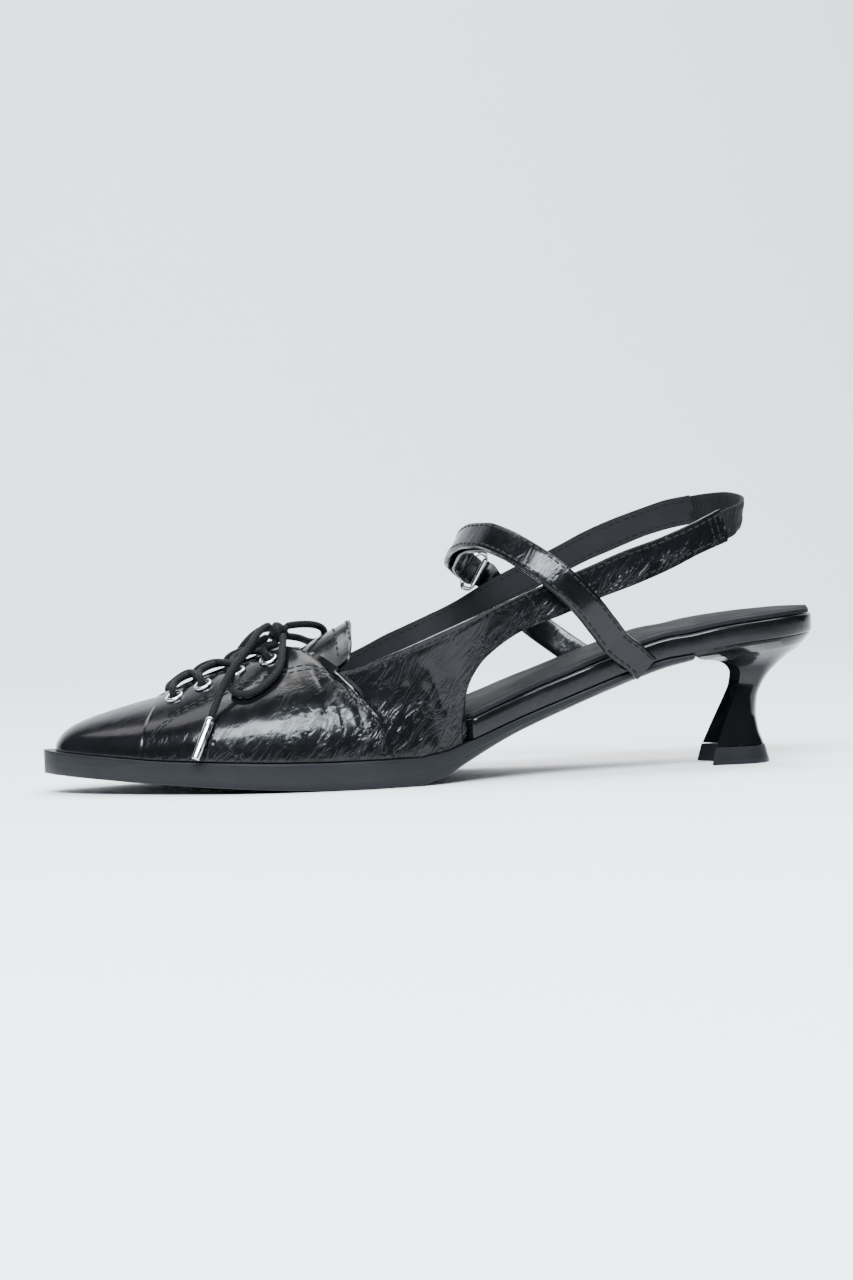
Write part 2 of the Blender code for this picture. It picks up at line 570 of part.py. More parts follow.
def make_top_piece(look):
    row = columns(HEEL_COLUMNS, HEEL)
    wide = HEEL_FOOT_WIDTH / 2
    back = along_x(row["back"][0])
    front = along_x(row["front"][0])
    spread = (HEEL_FOOT_LENGTH - (back - front)) / 2
    hollow = row["hollow"][0]
    upper_half = row["half"][0] * HALF_BALL + GAP
    upper_corner = row["corner"][0] * HALF_BALL + GAP
    middle_wide = (wide + upper_half) / 2
    middle_high = TOP_PIECE_HEIGHT / 2
    high = TOP_PIECE_HEIGHT
    taper = TOP_PIECE_TAPER
    between = (spread + GAP) / 2
    rings = [
        heel_ring(back + spread, front - spread, 0, 0, wide, wide * taper, hollow),
        heel_ring(
            back + between, front - between, middle_high, middle_high, middle_wide,
            middle_wide * taper, hollow,
        ),
        heel_ring(back + GAP, front - GAP, high, high, upper_half, upper_corner, hollow),
    ]
    return piece("heel_top_piece", *loft(rings), look)


def upper_rows():
    return columns(UPPER_COLUMNS, UPPER)


def upper_ends(row, side):
    """Lower and upper end of the section at a fractional row, for side -1 (outer) or 1 (inner)."""
    rows = upper_rows()
    keys = range(len(UPPER))
    read = {
        name: float(smooth(keys, rows[name], row)) for name in UPPER_COLUMNS if None not in rows[name]
    }
    low_x = float(along_x(read["low"]))
    name = "in" if side > 0 else "out"
    lift = side > 0
    edges = outline(low_x, WELT_LEDGE, TOE_LEDGE)
    low_y = float(edges[lift])
    if row < 1:
        middle = float(sum(edges)) / 2
        low_y = middle + (low_y - middle) * row
    low_z = float(sole_top(low_x)) + UPPER_REST
    start = FREE_FROM - 1
    if row > start:
        start_x = along_x(rows["low"][start])
        spots = range(start, len(UPPER))
        edge = float(outline(start_x, WELT_LEDGE, TOE_LEDGE)[lift]) / HALF_BALL
        low_y = float(smooth(spots, [edge] + rows["low_" + name][FREE_FROM:], row)) * HALF_BALL
        base = (float(sole_top(start_x)) + UPPER_REST) / INSTEP_HEIGHT
        low_z = float(smooth(spots, [base] + rows["low_up"][FREE_FROM:], row)) * INSTEP_HEIGHT
    low_z += lift * read["lift_low"] * INSTEP_HEIGHT
    top_z = (read["top_up"] + lift * read["lift_top"]) * INSTEP_HEIGHT
    low = np.array([low_x, low_y, low_z])
    crest = read["top_in"] if row <= RIDGE_END else read["top_" + name]
    top = np.array([float(along_x(read["top"])), crest * HALF_BALL, top_z])
    return low, top, read


def upper_section(row, side, steps):
    """Points of one section from the sole to its upper end, a cubic with handles from the table."""
    low, top, read = upper_ends(row, side)
    high = top[2] - low[2]
    first = low + np.array([0, 0, read["rise"] * high])
    level = (low - top) * np.array([1, 1, 0])
    second = top + read["lie"] * level - np.array([0, 0, read["dip"] * high])
    t = np.asarray(steps, float)[:, None]
    rest = 1 - t
    return low * rest**3 + 3 * first * t * rest**2 + 3 * second * t * t * rest + top * t**3


def upper_stations():
    """Fractional rows: every row, and one between where the rows stand far apart."""
    last = len(UPPER) - 1
    between = [i + 0.5 for i in range(last) if i not in CLOSE_ROWS]
    return sorted(list(range(last + 1)) + between)


def make_upper(look, seats):
    stations = upper_stations()
    steps = np.linspace(0, 1, SECTION_STEPS + 1) ** SECTION_EASE
    points = []
    faces = []
    for side in (-1, 1):
        base = len(points)
        for row in stations:
            points.extend(upper_section(row, side, steps))
        wide = len(steps)
        for k in range(len(stations) - 1):
            for i in range(wide - 1):
                a = base + k * wide + i
                quad = (a, a + wide, a + wide + 1, a + 1)
                if k == 0 and i == wide - 2:
                    parts = [(quad[0], quad[1], quad[3]), (quad[1], quad[2], quad[3])]
                else:
                    parts = [quad]
                faces.extend(part if side < 0 else part[::-1] for part in parts)
    mesh = bpy.data.meshes.new("upper")
    mesh.from_pydata([tuple(map(float, p)) for p in points], [], faces)
    raised = [TOE_SEAM <= row <= REAR_SEAM for _ in (0, 1) for row in stations for _ in steps]
    shape = bmesh.new()
    shape.from_mesh(mesh)
    level = shape.verts.layers.float.new("level")
    for vert, up in zip(shape.verts, raised):
        vert[level] = float(up)
    bmesh.ops.remove_doubles(shape, verts=shape.verts, dist=WELD)
    shape.normal_update()
    for vert in shape.verts:
        vert.co += vert.normal * OVERLAY * vert[level]
    weights = [vert[level] for vert in shape.verts]
    shape.to_mesh(mesh)
    shape.free()
    mesh.materials.append(look)
    mesh.shade_smooth()
    mesh.set_sharp_from_angle(angle=math.radians(40))
    made = bpy.data.objects.new("upper", mesh)
    bpy.context.scene.collection.objects.link(made)
    wall = made.vertex_groups.new(name="wall")
    thin = UPPER_WALL / (UPPER_WALL + OVERLAY)
    for index, weight in enumerate(weights):
        wall.add([index], thin + (1 - thin) * weight, "REPLACE")
    solid = made.modifiers.new("Wall", "SOLIDIFY")
    solid.thickness = UPPER_WALL + OVERLAY
    solid.offset = -1
    solid.vertex_group = "wall"
    solid.use_even_offset = False
    made.modifiers.new("Triangles", "TRIANGULATE")
    cut = made.modifiers.new("Eyelet holes", "BOOLEAN")
    cut.operation = "DIFFERENCE"
    cut.solver = "EXACT"
    cut.object = hole_cutter(seats)
    return made


def eyelet_seat(target, margin, side):
    """Centre and outward direction on the upper, margin down the section from its upper end."""
    best = None
    steps = np.linspace(0, 1, 81)
    for row in np.arange(RIDGE_END - 0.9, REAR_SEAM, 0.05):
        line = upper_section(row, side, steps)
        run = np.linalg.norm(np.diff(line[::-1], axis=0), axis=1).cumsum()
        spot = 80 - int(np.searchsorted(run, margin)) - 1
        miss = abs(line[spot, 0] - float(along_x(target)))
        if best is None or miss < best[0]:
            best = (miss, row, steps[spot])
    _, row, step = best
    here = upper_section(row, side, [step])[0]
    ahead = upper_section(row + 0.1, side, [step])[0] - upper_section(row - 0.1, side, [step])[0]
    rise = upper_section(row, side, [step + 0.02])[0] - upper_section(row, side, [step - 0.02])[0]
    out = unit(np.cross(ahead, rise)) * (-side)
    return here + out * OVERLAY, out, row


def frame_of(out):
    first = unit(np.cross(out, (0, 1, 0)))
    return first, np.cross(out, first)


def turned(centre, out, profile, sides):
    """Rings of a turned piece: profile holds radius and height above the centre."""
    first, second = frame_of(out)
    rings = []
    for i in range(sides):
        angle = 2 * math.pi * i / sides
        spoke = first * math.cos(angle) + second * math.sin(angle)
        rings.append(np.array([centre + spoke * radius + out * high for radius, high in profile]))
    return rings


def hole_cutter(seats):
    points = []
    faces = []
    radius = EYELET_BORE / 2 + EYELET_WALL + GAP
    reach = UPPER_WALL + OVERLAY + GAP
    for centre, out, _ in seats:
        first, second = frame_of(out)
        rings = []
        for high in (-reach * 1.6, reach):
            ring = [
                centre + (first * math.cos(a) + second * math.sin(a)) * radius + out * high
                for a in HOLE_TURN + np.linspace(0, 2 * math.pi, EYELET_SIDES, endpoint=False)
            ]
            rings.append(np.array(ring))
        made_points, made_faces = loft(rings)
        base = len(points)
        points.extend(made_points)
        faces.extend(tuple(base + i for i in face) for face in made_faces)
    cutter = piece("eyelet_holes", points, faces, bpy.data.materials["patent"])
    cutter.hide_render = True
    cutter.display_type = "WIRE"
    return cutter


def make_eyelet(name, seat, look):
    centre, out, _ = seat
    bore = EYELET_BORE / 2
    barrel = bore + EYELET_WALL
    flange = EYELET_OUTSIDE / 2
    top = EYELET_LIFT + EYELET_FLANGE
    soft = EYELET_FLANGE / 2
    profile = (
        (bore, -UPPER_WALL), (barrel, -UPPER_WALL), (barrel, EYELET_LIFT), (flange, EYELET_LIFT),
        ((flange + barrel) / 2, top), (bore, top - soft),
    )
    return piece(name, *closed_ring_loft(turned(centre, out, profile, EYELET_SIDES)), look)


def make_tongue(look):
    """Follows the eyestays from inside, then rises free behind them to a rounded end."""
    drop = UPPER_WALL + TONGUE_CLEARANCE
    lines = []
    for row in (RIDGE_END + 1.2, 13, 14, 15, 16, 16.7):
        outer = upper_section(row, -1, np.linspace(0.74, 0.97, 5))
        inner = upper_section(row, 1, np.linspace(0.97, 0.74, 5))
        crown = (outer[-1] + inner[0]) / 2 + np.array([0, 0, UPPER_WALL * 0.4])
        line = np.vstack([outer, crown, inner])
        lines.append(line)
    rows = columns(TONGUE_COLUMNS, TONGUE)
    spread = np.linspace(-1, 1, 11)
    for i in range(len(TONGUE)):
        y = TONGUE_MIDDLE + rows["half"][i] * spread
        fall = np.abs(spread) ** TONGUE_ARCH
        z = rows["ridge"][i] + (rows["edge"][i] - rows["ridge"][i]) * fall
        x = np.full(len(spread), along_x(rows["along"][i]))
        line = np.column_stack([x, y * HALF_BALL, z * INSTEP_HEIGHT])
        line[:, 2] += drop
        lines.append(line)
    grid = np.array(lines)
    ahead = np.gradient(grid, axis=0)
    across = np.gradient(grid, axis=1)
    out = unit(np.cross(ahead, across))
    top = grid - out * drop
    low = top - out * TONGUE_THICKNESS
    rings = []
    for k in range(len(grid)):
        rings.append(np.vstack([top[k], low[k][::-1]]))
    return piece("tongue", *loft(rings), look)


def band(name, centres, wides, width, thickness, look):
    """A strap along centres, whose width lies along wides, with softened edges."""
    centres = np.asarray(centres)
    ahead = unit(np.gradient(centres, axis=0))
    wides = np.asarray(wides) - ahead * np.sum(np.asarray(wides) * ahead, axis=1, keepdims=True)
    wides = unit(wides)
    outs = np.cross(wides, ahead)
    section = []
    for side in (1, -1):
        section += [(side * 0.5, -side * 0.28), (side * 0.5, side * 0.28), (side * 0.44, side * 0.5)]
        section += [(-side * 0.44, side * 0.5)]
    rings = []
    for centre, wide, out in zip(centres, wides, outs):
        rings.append(np.array([centre + wide * width * w + out * thickness * h for w, h in section]))
    return piece(name, *loft(rings), look)


def strap_line(rows, count):
    """Centres and width directions at count even steps through a strap table."""
    table = columns(STRAP_COLUMNS, rows)
    at = np.linspace(0, len(rows) - 1, count)
    read = {name: smooth(range(len(rows)), table[name], at) for name in STRAP_COLUMNS}
    across = read["across"] * HALF_BALL
    centres = np.column_stack([along_x(read["along"]), across, read["up"] * INSTEP_HEIGHT])
    return centres, unit(np.column_stack([read["wide_x"], read["wide_y"], read["wide_z"]]))


def ring_frame():
    long = unit(RING_LONG)
    short = np.asarray(RING_SHORT)
    short = unit(short - long * np.dot(short, long))
    return place(**RING_PLACE), long, short


def make_instep_strap(look):
    """Up from the sole over the instep, round the ring's near bar and back on itself."""
    centres, wides = strap_line(INSTEP_STRAP, 22)
    centre, long, short = ring_frame()
    bar = centre - short * (RING_BREADTH - RING_WIRE) / 2
    reach = RING_WIRE / 2 + GAP + STRAP_THICKNESS / 2
    face = np.cross(long, short)
    outward = face if face[1] + face[2] > 0 else -face
    turn = []
    for angle in np.radians((-90, -50, -10, 30, 70)):
        turn.append(bar + (short * math.cos(angle) + outward * math.sin(angle)) * reach)
    ahead = unit(np.gradient(centres, axis=0))
    outs = unit(np.cross(wides, ahead))
    outs *= np.where(np.sum(outs * (centres - centres.mean(axis=0)), axis=1) < 0, -1, 1)[:, None]
    back = centres + outs * (STRAP_THICKNESS + STRAP_LAYER_GAP)
    ease = np.linspace(0, 1, len(centres))[:, None] ** 3
    back = back + outs * ease * RING_WIRE
    first = int(round(INSTEP_STRAP_RETURN / (len(INSTEP_STRAP) - 1) * (len(centres) - 1)))
    path = np.vstack([centres, turn, back[first:][::-1]])
    wide = np.vstack([wides, np.tile(long, (len(turn), 1)), wides[first:][::-1]])
    return band("instep_strap", path, wide, STRAP_WIDTH, STRAP_THICKNESS, look)


def make_ring(look):
    """Wire ring with round ends, a rounded rectangle in its own plane."""
    centre, long, short = ring_frame()
    face = np.cross(long, short)
    radius = RING_WIRE / 2
    half_long = RING_LENGTH / 2 - radius
    half_short = RING_BREADTH / 2 - radius
    bend = half_short * 0.7
    rings = []
    for quarter in range(4):
        sign_long = (1, 1, -1, -1)[quarter]
        sign_short = (-1, 1, 1, -1)[quarter]
        for share in (0, 0.33, 0.67, 1):
            angle = math.pi / 2 * (quarter - 1 + share)
            spoke = long * math.cos(angle) + short * math.sin(angle)
            corner = long * sign_long * (half_long - bend) + short * sign_short * (half_short - bend)
            middle = centre + corner + spoke * bend
            ring = [
                middle + (spoke * math.cos(a) + face * math.sin(a)) * radius
                for a in np.linspace(0, 2 * math.pi, 8, endpoint=False)
            ]
            rings.append(np.array(ring))
    return piece("strap_ring", *closed_ring_loft(rings), look)


def tube(name, route, radius, look, sides=8):
    """Round strand along a route, read from a smooth curve through it."""
    route = np.asarray(route)
    steps = np.linspace(0, len(route) - 1, 2 * len(route) - 1)
    path = np.column_stack([smooth(range(len(route)), route[:, i], steps) for i in range(3)])
    ahead = unit(np.gradient(path, axis=0))
    spoke = unit(np.cross(ahead[0], (0.3, 0.2, 1)))
    rings = []
    for centre, along in zip(path, ahead):
        spoke = unit(spoke - along * np.dot(spoke, along))
        other = np.cross(along, spoke)
        ring = [
            centre + (spoke * math.cos(a) + other * math.sin(a)) * radius
            for a in np.linspace(0, 2 * math.pi, sides, endpoint=False)
        ]
        rings.append(np.array(ring))
    return piece(name, *loft(rings), look)


def edge_pass(seat, edge, rise):
    """Where a strand lies over the eyestay's edge."""
    centre, out, _ = seat
    return centre * (1 - EDGE_PASS) + edge * EDGE_PASS + out * (rise + OVERLAY)


def strand_routes(seats):
    """Crossed strands: out of each eyelet, over the edge, across and down beside the next one."""
    radius = LACE_DIAMETER / 2
    rise = radius + GAP + EYELET_LIFT + EYELET_FLANGE
    outer, inner = seats
    edges = []
    for row, side in zip(seats, (-1, 1)):
        edges.append([upper_ends(seat[2], side)[1] for seat in row])
    routes = []
    for i in range(len(outer) - 1):
        for near, far, near_edge, far_edge, level in (
            (outer, inner, edges[0], edges[1], 0.0),
            (inner, outer, edges[1], edges[0], radius * 0.5),
        ):
            centre, out, _ = near[i]
            start = centre - out * UPPER_WALL * 0.5
            over = edge_pass(near[i], near_edge[i], rise)
            middle = (near_edge[i] + far_edge[i] + near_edge[i + 1] + far_edge[i + 1]) / 4
            middle = middle + np.array([0, 0, rise + level + OVERLAY])
            land = edge_pass(far[i + 1], far_edge[i + 1], rise) - far[i + 1][1] * radius * 0.8
            routes.append([start, centre + out * rise * 0.9, over, middle, land])
    for row, row_edges, side in zip(seats, edges, (-1, 1)):
        centre, out, _ = row[-1]
        start = centre - out * UPPER_WALL * 0.5
        over = edge_pass(row[-1], row_edges[-1], rise)
        end = np.array(KNOT_PLACE) + np.array(KNOT_ENTRY) * (1, side, 1)
        routes.append([start, centre + out * rise * 0.9, over, end])
    return routes


def make_crossings(seats, look):
    strands = []
    for i, route in enumerate(strand_routes(seats)):
        strands.append(tube(f"strand_{i}", route, LACE_DIAMETER / 2, look))
    made = strands[0]
    made.name = "lace_crossings"
    for strand in strands[1:]:
        join = made.modifiers.new(strand.name, "BOOLEAN")
        join.operation = "UNION"
        join.solver = "EXACT"
        join.object = strand
        strand.hide_render = True
        strand.display_type = "WIRE"
    return made


def cord(name, route, look):
    """A free stretch of lace as a curve with filled caps, on a smooth curve through its route."""
    route = np.asarray(route)
    run = np.concatenate([[0], np.linalg.norm(np.diff(route, axis=0), axis=1).cumsum()])
    count = max(4, int(run[-1] / (LACE_DIAMETER * 1.4)))
    at = np.linspace(0, run[-1], count)
    path = np.column_stack([smooth(run, route[:, i], at) for i in range(3)])
    curve = bpy.data.curves.new(name, "CURVE")
    curve.dimensions = "3D"
    curve.bevel_depth = LACE_DIAMETER / 2
    curve.bevel_resolution = 2
    curve.use_fill_caps = True
    spline = curve.splines.new("POLY")
    spline.points.add(count - 1)
    spline.points.foreach_set("co", np.column_stack([path, np.ones(count)]).ravel())
    curve.materials.append(look)
    made = bpy.data.objects.new(name, curve)
    bpy.context.scene.collection.objects.link(made)
    return made


def make_knot(look):
    """A tight knot: a rounded lump with a raised wrap round its middle."""
    centre = np.array(KNOT_PLACE)
    axis = unit(KNOT_AXIS)
    first, second = frame_of(axis)
    rings = []
    for share in np.linspace(-1, 1, 11):
        swell = math.sqrt(max(0.06, 1 - share**2)) * KNOT_FULLNESS
        swell += KNOT_WRAP * math.exp(-((share / KNOT_WRAP_WIDTH) ** 2))
        middle = centre + axis * KNOT_SIZE * KNOT_HALF_LENGTH * share
        ring = [
            middle + (first * math.cos(a) + second * math.sin(a)) * KNOT_SIZE * swell
            for a in np.linspace(0, 2 * math.pi, 12, endpoint=False)
        ]
        rings.append(np.array(ring))
    return piece("lace_knot", *loft(rings), look)


def make_aglet(name, route, look):
    """Metal tip that carries on straight from the last stretch of its lace end."""
    end = np.array(route[-1])
    ahead = unit(end - np.array(route[-2]))
    radius = AGLET_DIAMETER / 2
    first, second = frame_of(ahead)
    rings = []
    stops = (GAP, AGLET_MOUTH), (GAP * 3, 1), (AGLET_LENGTH - GAP * 2, 1), (AGLET_LENGTH, AGLET_TIP)
    for run, share in stops:
        ring = [
            end + ahead * run + (first * math.cos(a) + second * math.sin(a)) * radius * share
            for a in np.linspace(0, 2 * math.pi, 10, endpoint=False)
        ]
        rings.append(np.array(ring))
    return piece(name, *loft(rings), look)


def build():
    for old in list(bpy.data.objects):
        bpy.data.objects.remove(old)
    patent = material("patent", (0.012, 0.012, 0.014), 0.12)
    rubber = material("sole_rubber", (0.030, 0.031, 0.033), 0.45)
    gloss = material("heel_gloss", (0.010, 0.010, 0.011), 0.10)
    sock = material("sock_leather", (0.035, 0.034, 0.034), 0.55)
    steel = material("silver_metal", (0.75, 0.75, 0.76), 0.18, 1.0)
    lace = material("lace_cord", (0.012, 0.012, 0.013), 0.75)
    elastic = material("elastic_web", (0.012, 0.012, 0.013), 0.8)
    make_outsole(rubber)
    make_board(patent)
    make_insole(sock)
    make_heel(gloss)
    make_top_piece(rubber)
    rows = columns(EYELET_COLUMNS, EYELETS)
    seats = []
    for side in (-1, 1):
        seats.append([eyelet_seat(a, m, side) for a, m in zip(rows["along"], rows["margin"])])
    make_upper(patent, seats[0] + seats[1])
    make_tongue(patent)
    for row, name in zip(seats, ("outer", "inner")):
        for number, seat in enumerate(row, 1):
            make_eyelet(f"eyelet_{name}_{number}", seat, steel)
    band("heel_elastic", *strap_line(ELASTIC, 15), ELASTIC_WIDTH, ELASTIC_THICKNESS, elastic)
    make_instep_strap(patent)
    band("ring_strap", *strap_line(RING_STRAP, 12), STRAP_WIDTH, STRAP_THICKNESS, patent)
    make_ring(steel)
    make_crossings(seats, lace)
    make_knot(lace)
    cord("lace_loop_outer", LACE_LOOP_OUTER, lace)
    cord("lace_loop_inner", LACE_LOOP_INNER, lace)
    cord("lace_end_outer", LACE_END_OUTER, lace)
    cord("lace_end_inner", LACE_END_INNER, lace)
    make_aglet("aglet_outer", LACE_END_OUTER, steel)
    make_aglet("aglet_inner", LACE_END_INNER, steel)


build()
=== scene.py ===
"""Visual model of a left slingback shoe with a laced vamp, drawn as an add-on.

Every piece is a surface of two parameters: a place along the shoe, strap or cord and a place
round its section. The tables are those of the solid model, read at many more places.
"""

import math
from collections import namedtuple

import bmesh
import bpy
import numpy as np
from bpy.props import FloatProperty, FloatVectorProperty, PointerProperty
from mathutils import Matrix, Vector


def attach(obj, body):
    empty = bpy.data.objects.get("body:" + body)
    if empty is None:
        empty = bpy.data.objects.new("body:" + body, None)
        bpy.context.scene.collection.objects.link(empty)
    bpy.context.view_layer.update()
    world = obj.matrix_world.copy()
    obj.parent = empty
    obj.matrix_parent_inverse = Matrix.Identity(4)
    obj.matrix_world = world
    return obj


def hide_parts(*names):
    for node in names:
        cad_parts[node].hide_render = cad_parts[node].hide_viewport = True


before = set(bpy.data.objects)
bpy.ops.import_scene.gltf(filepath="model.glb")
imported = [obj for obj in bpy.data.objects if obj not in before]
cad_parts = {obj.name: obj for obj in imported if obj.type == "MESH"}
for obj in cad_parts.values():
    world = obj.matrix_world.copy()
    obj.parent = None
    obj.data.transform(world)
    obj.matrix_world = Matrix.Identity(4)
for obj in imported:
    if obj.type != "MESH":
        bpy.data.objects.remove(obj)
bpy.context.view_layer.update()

bl_info = {
    "name": "Laced slingback shoe",
    "version": (1, 0, 0),
    "blender": (4, 5, 0),
    "location": "View3D > Sidebar > Shoe",
    "description": "Draws a patent slingback shoe over its packed solids",
    "category": "Object",
}

# Driving sizes, in metres
SHOE_LENGTH = 0.2667
BALL_WIDTH = 0.078
SEAT_HEIGHT = 0.0447
INSTEP_HEIGHT = 0.048
TOE_SPRING = 0.0069
TOE_CORNER = 0.004
SEAT_ROUNDING = 0.027
SOLE_THICKNESS = 0.009
SOLE_SIDE_STEP = 0.0003
SOLE_EDGE = 0.0007
WELT_LEDGE = 0.0022
TOE_LEDGE = 0.0040
UPPER_WALL = 0.0016
UPPER_REST = 0.0005
OVERLAY = 0.0008
RAND_HEIGHT = 0.0072
RAND_EDGE = 0.0014
BOARD_TUCK = 0.0017
SEAT_INSET = 0.0008
INSOLE_THICKNESS = 0.0015
INSOLE_INSET = 0.0009
INSOLE_CROWN = 0.5
TONGUE_THICKNESS = 0.0016
TONGUE_CLEARANCE = 0.0009
STRAP_WIDTH = 0.0098
STRAP_THICKNESS = 0.0018
STRAP_LAYER_GAP = 0.0005
ELASTIC_WIDTH = 0.0100
RING_LENGTH = 0.0155
RING_BREADTH = 0.0080
RING_WIRE = 0.0018
EYELET_OUTSIDE = 0.0066
EYELET_BORE = 0.0040
EYELET_WALL = 0.0004
EYELET_FLANGE = 0.0006
EYELET_LIFT = 0.0004
LACE_DIAMETER = 0.0025
KNOT_SIZE = 0.0072
AGLET_DIAMETER = 0.0030
AGLET_LENGTH = 0.0157
AGLET_MOUTH = 0.85
AGLET_TIP = 0.8
TOP_PIECE_HEIGHT = 0.0060
HEEL_FOOT_WIDTH = 0.0232
HEEL_FOOT_LENGTH = 0.0229
GAP = 0.0003
WELD = 0.00001

HALF_BALL = BALL_WIDTH / 2
TOE_X = -SHOE_LENGTH / 2

FLAT_FROM = 0.350
FLAT_TO = 0.463
SPRING_POWER = 1.35
BREAST = 0.823
TOP_PIECE_TAPER = 0.97
BAND_OPENS = (0.519, 0.523, 0.528, 0.532)

# Plan outline of the sole: along, outer edge and inner edge
OUTLINE = {
    "along": (
        0, 0.024, 0.081, 0.156, 0.231, 0.306, 0.381, 0.456, 0.531, 0.606, 0.681, 0.774, 0.868, 1,
    ),
    "outer": (
        0.10, -0.10, -0.385, -0.667, -0.872, -0.974, -1, -0.923, -0.80, -0.68, -0.625, -0.605,
        -0.625, -0.60,
    ),
    "inner": (
        0.36, 0.487, 0.667, 0.846, 0.962, 1, 0.974, 0.897, 0.782, 0.679, 0.655, 0.679, 0.718, 0.705,
    ),
}

# Underside of the sole behind the ball, as a share of SEAT_HEIGHT
ARCH = {
    "along": (
        0.463, 0.495, 0.523, 0.557, 0.598, 0.658, 0.718, 0.752, 0.786, 0.823, 0.85, 0.90, 0.95, 1,
    ),
    "up": (
        0, 0.062, 0.150, 0.252, 0.362, 0.502, 0.637, 0.708, 0.773, 0.825, 0.862, 0.905, 0.937, 0.965,
    ),
}

# Sole thickness as a share of SOLE_THICKNESS; behind the breast the heel takes its place
THICKNESS = {
    "along": (
        0, 0.12, 0.19, 0.276, 0.356, 0.434, 0.463, 0.495, 0.523, 0.557, 0.598, 0.658, 0.752, 0.786,
        0.823, 0.9, 1,
    ),
    "deep": (
        0.87, 0.86, 0.92, 0.99, 1.04, 1.04, 1.03, 0.90, 0.75, 0.62, 0.53, 0.46, 0.41, 0.37, 0.27,
        0.22, 0.18,
    ),
}

# Height of the board and its band, as a share of RAND_HEIGHT
BAND = {
    "along": (0, 0.42, 0.47, 0.50, 0.52, 0.56, 0.62, 0.68, 0.75, 0.83, 0.90, 0.96, 1),
    "high": (0.24, 0.26, 0.40, 0.75, 1, 1, 1.04, 1.04, 1, 0.98, 0.97, 0.95, 0.85),
}

# Share by which the sole narrows below its top edge
BEVEL = {
    "along": (0, 0.45, 0.52, 0.60, 0.823),
    "narrow": (0.02, 0.02, 0.06, 0.16, 0.18),
}

